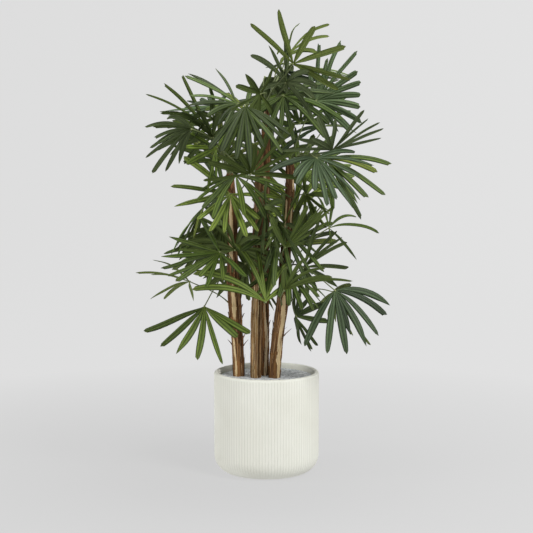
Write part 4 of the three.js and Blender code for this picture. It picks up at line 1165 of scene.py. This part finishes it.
leaves = {g: Build() for g in GREENS}
nodes = {g: [] for g in GREENS}
stalks, straps = Build(), Build()
for i, (cane, node, hub, turn, rise, roll, cup, droop, width, green, angles, lengths) in enumerate(FRONDS):
    r = np.random.default_rng(5000 + i)
    hub = np.array(hub, float)
    axes = fan_axes(turn, rise, roll)
    order = np.argsort(angles)
    angles, lengths = np.array(angles, float)[order], np.array(lengths, float)[order]
    between = np.diff(np.r_[angles, angles[0] + 360])
    more = MORE_LEAFLETS.get(i, [])
    width = width * WIDER.get(i, 1.0)
    for k in range(len(angles) + len(more)):
        odd = r.random() + (0.15 if i in WIDER else 0.0)
        tint = 6 if odd < 0.07 else 7 if odd < 0.15 else int(np.clip(round(TONE_WITH_PAINTED_LIGHT[i] + r.normal(0, 0.55)), 0, 5))
        if k < len(angles):
            leaflet(leaves[GREENS[green]], hub, axes, angles[k], lengths[k], cup, droop, width, (between[k - 1], between[k]), r, tint)
        else:
            angle, length = more[k - len(angles)]
            leaflet(leaves[GREENS[green]], hub, axes, angle, length, cup + r.uniform(-7, -2), droop, width * r.uniform(0.84, 0.96), (30.0, 30.0), r, tint)
    curve, radius, leave = stalk_line(cane, node, hub, axes, angles)
    stalk(stalks, cane, curve, radius, hub, axes, leave, r, 0)
    strap(straps, cane, node, curve, radius, r, reliefs[cane])
    nodes[GREENS[green]].append(f"frond_{i + 1:02d}")
for g in GREENS:
    mats = [leaf_material(f"{g}_{'abcdefgh'[k]}", times(LEAF[g], VARY[k]), 3.0 + 5.3 * k) for k in range(TINTS)]
    mats.append(leaf_material(g + "_underside", times(LEAF[g], UNDER), 0.0, under=True))
    piece = leaves[g].make("leaflets_" + g[5:], mats, sharp=62)
    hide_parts(*nodes[g])
    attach(piece, "root")
piece = stalks.make("leaf_stalks", [stalk_material("stalk_green", (0.105, 0.130, 0.045), (0.16, 0.19, 0.075)), stalk_material("stalk_knob", (0.24, 0.27, 0.11), (0.24, 0.27, 0.11))], sharp=60)
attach(piece, "root")
piece = straps.make("leaf_sheaths", strands, sharp=60)
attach(piece, "root")

piece = planter(pot_material())
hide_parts("pot")
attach(piece, "root")
piece = topping(topping_material())
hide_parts("fill")
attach(piece, "root")


# ---------------------------------------------------------------- studio
def studio():
    """One round sweep of pale paper: a floor that curves up into a wall on all sides, far outside
    the camera. It glows a little, and more so far out, so that it stays even behind the plant.
    Its tone is painted darker on the left and lighter on the right, as light falls from the right."""
    cols = 96
    a = np.arange(cols) * 2 * math.pi / cols
    rows = [(r, 0.0) for r in (20.0, 300.0, 1000.0, 2500.0, 4500.0, 6000.0)]
    for deg in np.linspace(-84, 0, 15):
        q = math.radians(deg)
        rows.append((6000 + 3500 * math.cos(q), 3500 * (1 + math.sin(q))))
    rows.append((9500.0, 9000.0))
    rows = [(np.full(cols, p[0]), p[1]) for p in rows]

    def part(name, first, last, cap):
        use = rows[first:last]
        points = np.concatenate([np.stack([np.cos(a) * p[0], np.sin(a) * p[0], np.full(cols, p[1])], -1) for p in use])
        faces = grid_faces(len(use), cols, wrap=True)[:, ::-1]
        b = Build()
        b.add(points, faces, 0, grid_uvs(np.arange(cols + 1) / cols, np.linspace(0, 1, len(use)))[:, ::-1])
        k = np.arange(cols)
        if cap:
            b.extra(np.zeros((1, 3)), np.stack([k, (k + 1) % cols, np.full(cols, len(points)), np.full(cols, -1)], -1), 0, np.zeros((cols, 4, 2)))
        m = Nodes(name + "_paper", 0.9, 0.1)
        place = object_vector(m)
        s = m.node("SeparateXYZ")
        m.link(place, s.inputs[0])
        away = m.maths("SQRT", m.maths("ADD", m.maths("MULTIPLY", s.outputs[0], s.outputs[0]), m.maths("MULTIPLY", s.outputs[1], s.outputs[1])))
        far = m.range(away, 0.5, 2.0, 0.0, 1.0)
        # Painted light: darker to the left, lighter to the right
        near_shade_to_light = m.ramp(m.range(s.outputs[0], -1.1, 1.1, 0.0, 1.0), [(0.0, FLOOR_SHADE_TO_LIGHT[0]), (1.0, FLOOR_SHADE_TO_LIGHT[1])])
        far_shade_to_light = m.ramp(m.range(s.outputs[0], -2.6, 2.6, 0.0, 1.0), [(0.0, WALL_SHADE_TO_LIGHT[0]), (1.0, WALL_SHADE_TO_LIGHT[1])])
        tone = m.mix(near_shade_to_light, far_shade_to_light, far)
        glow = m.node("Emission")
        m.link(tone, glow.inputs["Color"])
        blend = m.node("MixShader")
        m.link(m.range(away, 0.5, 2.0, FLOOR_GLOW, 1.0), blend.inputs[0])
        m.colour(m.ramp(far, [(0.0, FLOOR_PAPER), (1.0, FLOOR_PAPER)]))
        m.link(m.bsdf.outputs[0], blend.inputs[1])
        m.link(glow.outputs[0], blend.inputs[2])
        m.link(blend.outputs[0], m.out.inputs["Surface"])
        ob = b.make(name, [m.mat])
        return ob

    part("studio_floor", 0, 6, True)
    wall = part("studio_wall", 5, len(rows), False)
    wall.visible_diffuse = wall.visible_glossy = wall.visible_shadow = False


# Painted light: each pair runs from the darker left to the lighter right
FLOOR_SHADE_TO_LIGHT, WALL_SHADE_TO_LIGHT = (0.625, 0.685), (0.725, 0.765)
FLOOR_GLOW, FLOOR_PAPER = 0.86, 0.56
studio()


def area_light(name, place, aim, size, power, colour=(1, 1, 1)):
    data = bpy.data.lights.new(name, "AREA")
    data.shape = "DISK"
    data.size = size
    data.energy = power
    data.color = colour
    ob = bpy.data.objects.new(name, data)
    ob.location = place
    ob.rotation_euler = (Vector(aim) - Vector(place)).to_track_quat("-Z", "Y").to_euler()
    bpy.context.scene.collection.objects.link(ob)
    return ob


area_light("key_right", (2.4, -2.6, 3.4), (0, 0, 0.7), 1.5, 143)
area_light("fill_left", (-4.1, -1.0, 1.5), (0, 0, 0.5), 2.2, 72)
area_light("top", (0.2, 0.2, 4.2), (0, 0, 0.8), 2.0, 85)
area_light("low_right", (1.6, -2.2, 0.2), (0, 0, 0.12), 0.6, 3.4)
area_light("low_left", (-1.5, -2.5, 0.12), (0, 0, 0.06), 0.6, 4.2)
world = bpy.data.worlds.new("studio_air")
world.use_nodes = True
world.node_tree.nodes["Background"].inputs["Color"].default_value = (1, 1, 1, 1)
world.node_tree.nodes["Background"].inputs["Strength"].default_value = 0.33
bpy.context.scene.world = world

camera = bpy.data.cameras.new("camera")
camera.sensor_width = 36.0
camera.lens = 106.92
camera.clip_start, camera.clip_end = 0.05, 100
eye = bpy.data.objects.new("camera", camera)
eye.location = (0, -5.0625, 1.2565)
eye.rotation_euler = (math.radians(90 - 6.6), 0, 0)
bpy.context.scene.collection.objects.link(eye)
bpy.context.scene.camera = eye
bpy.context.scene.view_settings.view_transform = "Standard"
bpy.context.scene.view_settings.look = "None"
